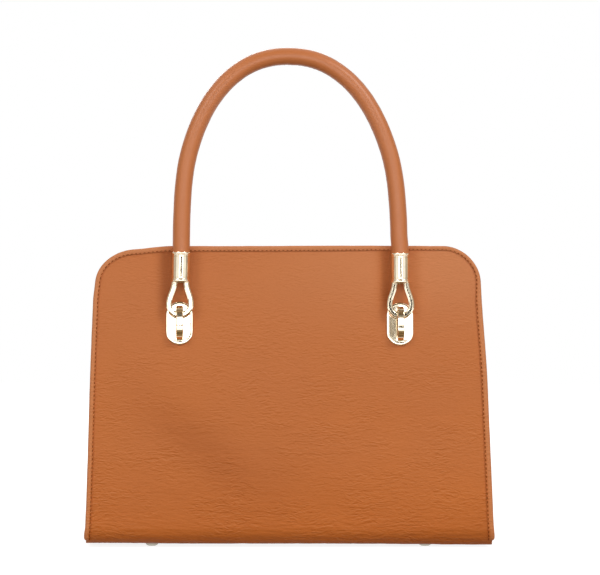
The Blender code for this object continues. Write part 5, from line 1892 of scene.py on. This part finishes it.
@dataclass(frozen=True)
class Studio:
    """The pale floor, the soft lights and the camera."""

    form: BagForm
    metres_per_pixel: float = 0.0007797
    image_width: int = 600
    distance: float = 2.4
    azimuth: float = -3.0
    roll: float = 0.26
    eye_height: float = 0.2002
    aside: float = 0.0068
    floor_size: float = 8.0
    floor_tone: float = 0.42
    floor_glow: float = 0.88
    world_light: float = 0.32

    def world(self) -> None:
        """Lights the scene plainly, and shows white behind it."""
        world = bpy.data.worlds.new("studio")
        bpy.context.scene.world = world
        world.use_nodes = True
        made = Nodes(world.node_tree)
        strength = made.graded(made.seen(), 0.0, 1.0, self.world_light, 1.0)
        made.feed(world.node_tree.nodes["Background"], {"Color": (1, 1, 1, 1), "Strength": strength})

    def flat(self, name: str, box: Sequence[tuple[float, float]], material: Material) -> bpy.types.Object:
        """Stands one flat face in the studio.

        Args:
            name: Its name.
            box: Where it starts and ends along X, Y and Z, of which one has both alike.
            material: Its finish.

        Returns:
            The face.
        """
        (x0, x1), (y0, y1), (z0, z1) = box
        corners = [(x0, y0, z0), (x1, y1 if x0 == x1 else y0, z0), (x1, y1, z1), (x0, y1 if z0 == z1 else y0, z1)]
        mesh = bpy.data.meshes.new(name)
        mesh.from_pydata(corners, [], [(0, 1, 2, 3)])
        mesh.materials.append(material)
        obj = linked(name, mesh)
        return obj

    def floor(self) -> None:
        """Makes the white floor, which keeps the bag's shadow."""
        made = Shader("pale_floor", 1.0, specular=0.0)
        glow = made.times(made.seen(), self.floor_glow)
        tone = (self.floor_tone,) * 3
        made.finish(**{"Base Color": shade(tone), "Emission Color": (1, 1, 1, 1), "Emission Strength": glow})
        half, z = self.floor_size / 2, -self.form.foot_height - 0.0001
        self.flat("floor", ((-half, half), (-half, half), (z, z)), made.material)

    def lamp(self, name: str, where: Sequence[float], size: tuple[float, float], power: float) -> None:
        """Hangs one soft box that points at the bag.

        Args:
            name: Its name.
            where: Its place.
            size: Its width and height.
            power: Its power in watts.
        """
        light = bpy.data.lights.new(name, "AREA")
        light.shape = "RECTANGLE"
        light.size, light.size_y = size
        light.energy = power
        obj = linked(name, light)
        obj.location = where
        aim = Vector((0, 0, self.form.height / 2)) - Vector(where)
        obj.rotation_euler = aim.to_track_quat("-Z", "Y").to_euler()
        obj.visible_camera = False

    def card(self, name: str, box: Sequence[tuple[float, float]], colour: Colour, mottle: float = 0.0) -> None:
        """Stands a card beside or above the bag, seen only in the metal's reflections.

        Args:
            name: Its name.
            box: Where it starts and ends along X, Y and Z, of which one has both alike.
            colour: Its colour.
            mottle: How many blotches a metre of it has, or 0 for a plain one.
        """
        made = Shader(name, 1.0, specular=0.0)
        paint = shade(colour)
        if mottle:
            blotch = made.graded(made.noise(made.where, mottle), 0.42, 0.6, 0.0, 1.0)
            paint = made.mixed(blotch, shade(colour, 0.12), paint)
        made.finish(**{"Base Color": paint})
        obj = self.flat(name, box, made.material)
        for ray in ("camera", "diffuse", "shadow", "transmission"):
            setattr(obj, f"visible_{ray}", False)

    def cards(self) -> None:
        """Sets the cards that give the metal its dark lines and ends."""
        for name, tone, x, y, z, mottle in (
            ("link_card", 0.25, (0.14, 0.5), -2.66, (0.4, 0.575), 12.0),
            ("plate_card", 1.0, (0.06, 0.31), -2.66, (0.7, 0.95), 38.0),
            ("sleeve_card", 0.12, (-0.45, 0.75), -2.66, (0.58, 0.69), 0.0),
            ("upper_card", 0.72, (-1.0, 1.0), -2.6, (1.02, 1.8), 9.0),
        ):
            self.card(name, (x, (y, y), z), (tone, 0.86 * tone, 0.7 * tone), mottle)
        tall, near, far = (-0.3, 1.4), (-0.8, -0.1), (-0.05, 0.9)
        for name, x, y, colour in (
            ("left_wall_card", -1.6, far, (0.82, 0.71, 0.62)), ("left_front_wall_card", -1.6, near, (0.84, 0.74, 0.64)),
            ("right_wall_card", 1.6, far, (0.95, 0.78, 0.58)), ("right_front_wall_card", 1.6, near, (0.72, 0.62, 0.5)),
        ):
            self.card(name, ((x, x), y, tall), colour)
        self.card("low_card", ((-0.4, 0.4), (-1.15, -0.075), (0.0, 0.0)), (0.58, 0.4, 0.2), 30.0)
        self.card("ceiling_card", ((-1.0, 1.0), (-3.2, -0.4), (2.1, 2.1)), (0.9, 0.6, 0.34), 9.0)

    def camera(self) -> None:
        """Sets the camera level with the middle of the photograph, with a long lens."""
        data = bpy.data.cameras.new("camera")
        data.sensor_width = 36.0
        data.lens = data.sensor_width * self.distance / (self.metres_per_pixel * self.image_width)
        data.clip_end = 50.0
        obj = linked("camera", data)
        turn = math.radians(self.azimuth)
        aim = Vector((self.aside, -self.form.base_depth / 2, self.eye_height))
        obj.location = aim + Vector((math.sin(turn), -math.cos(turn), 0)) * self.distance
        obj.rotation_euler = (math.pi / 2, -math.radians(self.roll), turn)
        bpy.context.scene.camera = obj

    def build(self) -> None:
        """Sets up the whole studio."""
        bpy.context.scene.view_settings.view_transform = "Standard"
        self.world()
        self.floor()
        self.lamp("key_box", (1.5, -1.7, 2.0), (0.7, 0.7), 21.0)
        self.lamp("side_box", (-1.6, -1.9, 1.8), (0.7, 0.7), 12.0)
        self.lamp("front_box", (0.05, -2.75, 0.72), (2.4, 1.2), 22.0)
        self.lamp("rear_box", (-0.4, 2.6, 1.5), (2.0, 1.2), 32.0)
        self.cards()
        self.camera()


def main() -> None:
    """Builds the bag's looks, part by part."""
    logging.basicConfig(level=logging.INFO, format="%(name)s: %(message)s")
    form = BagForm()
    finishes = Finishes.made()
    kit = (form, finishes, Seams(finishes.thread))
    Studio(form).build()
    faces = [Face(*kit, side) for side in Side]
    handles = [Handle(*kit, side) for side in Side]
    for part in (*faces, Walls(*kit), Hardware(*kit), *handles, ZipPocket(*kit)):
        LOG.info("building %s", type(part).__name__)
        part.build()
    dress_inner_nodes(finishes)


if __name__ == "__main__":
    main()
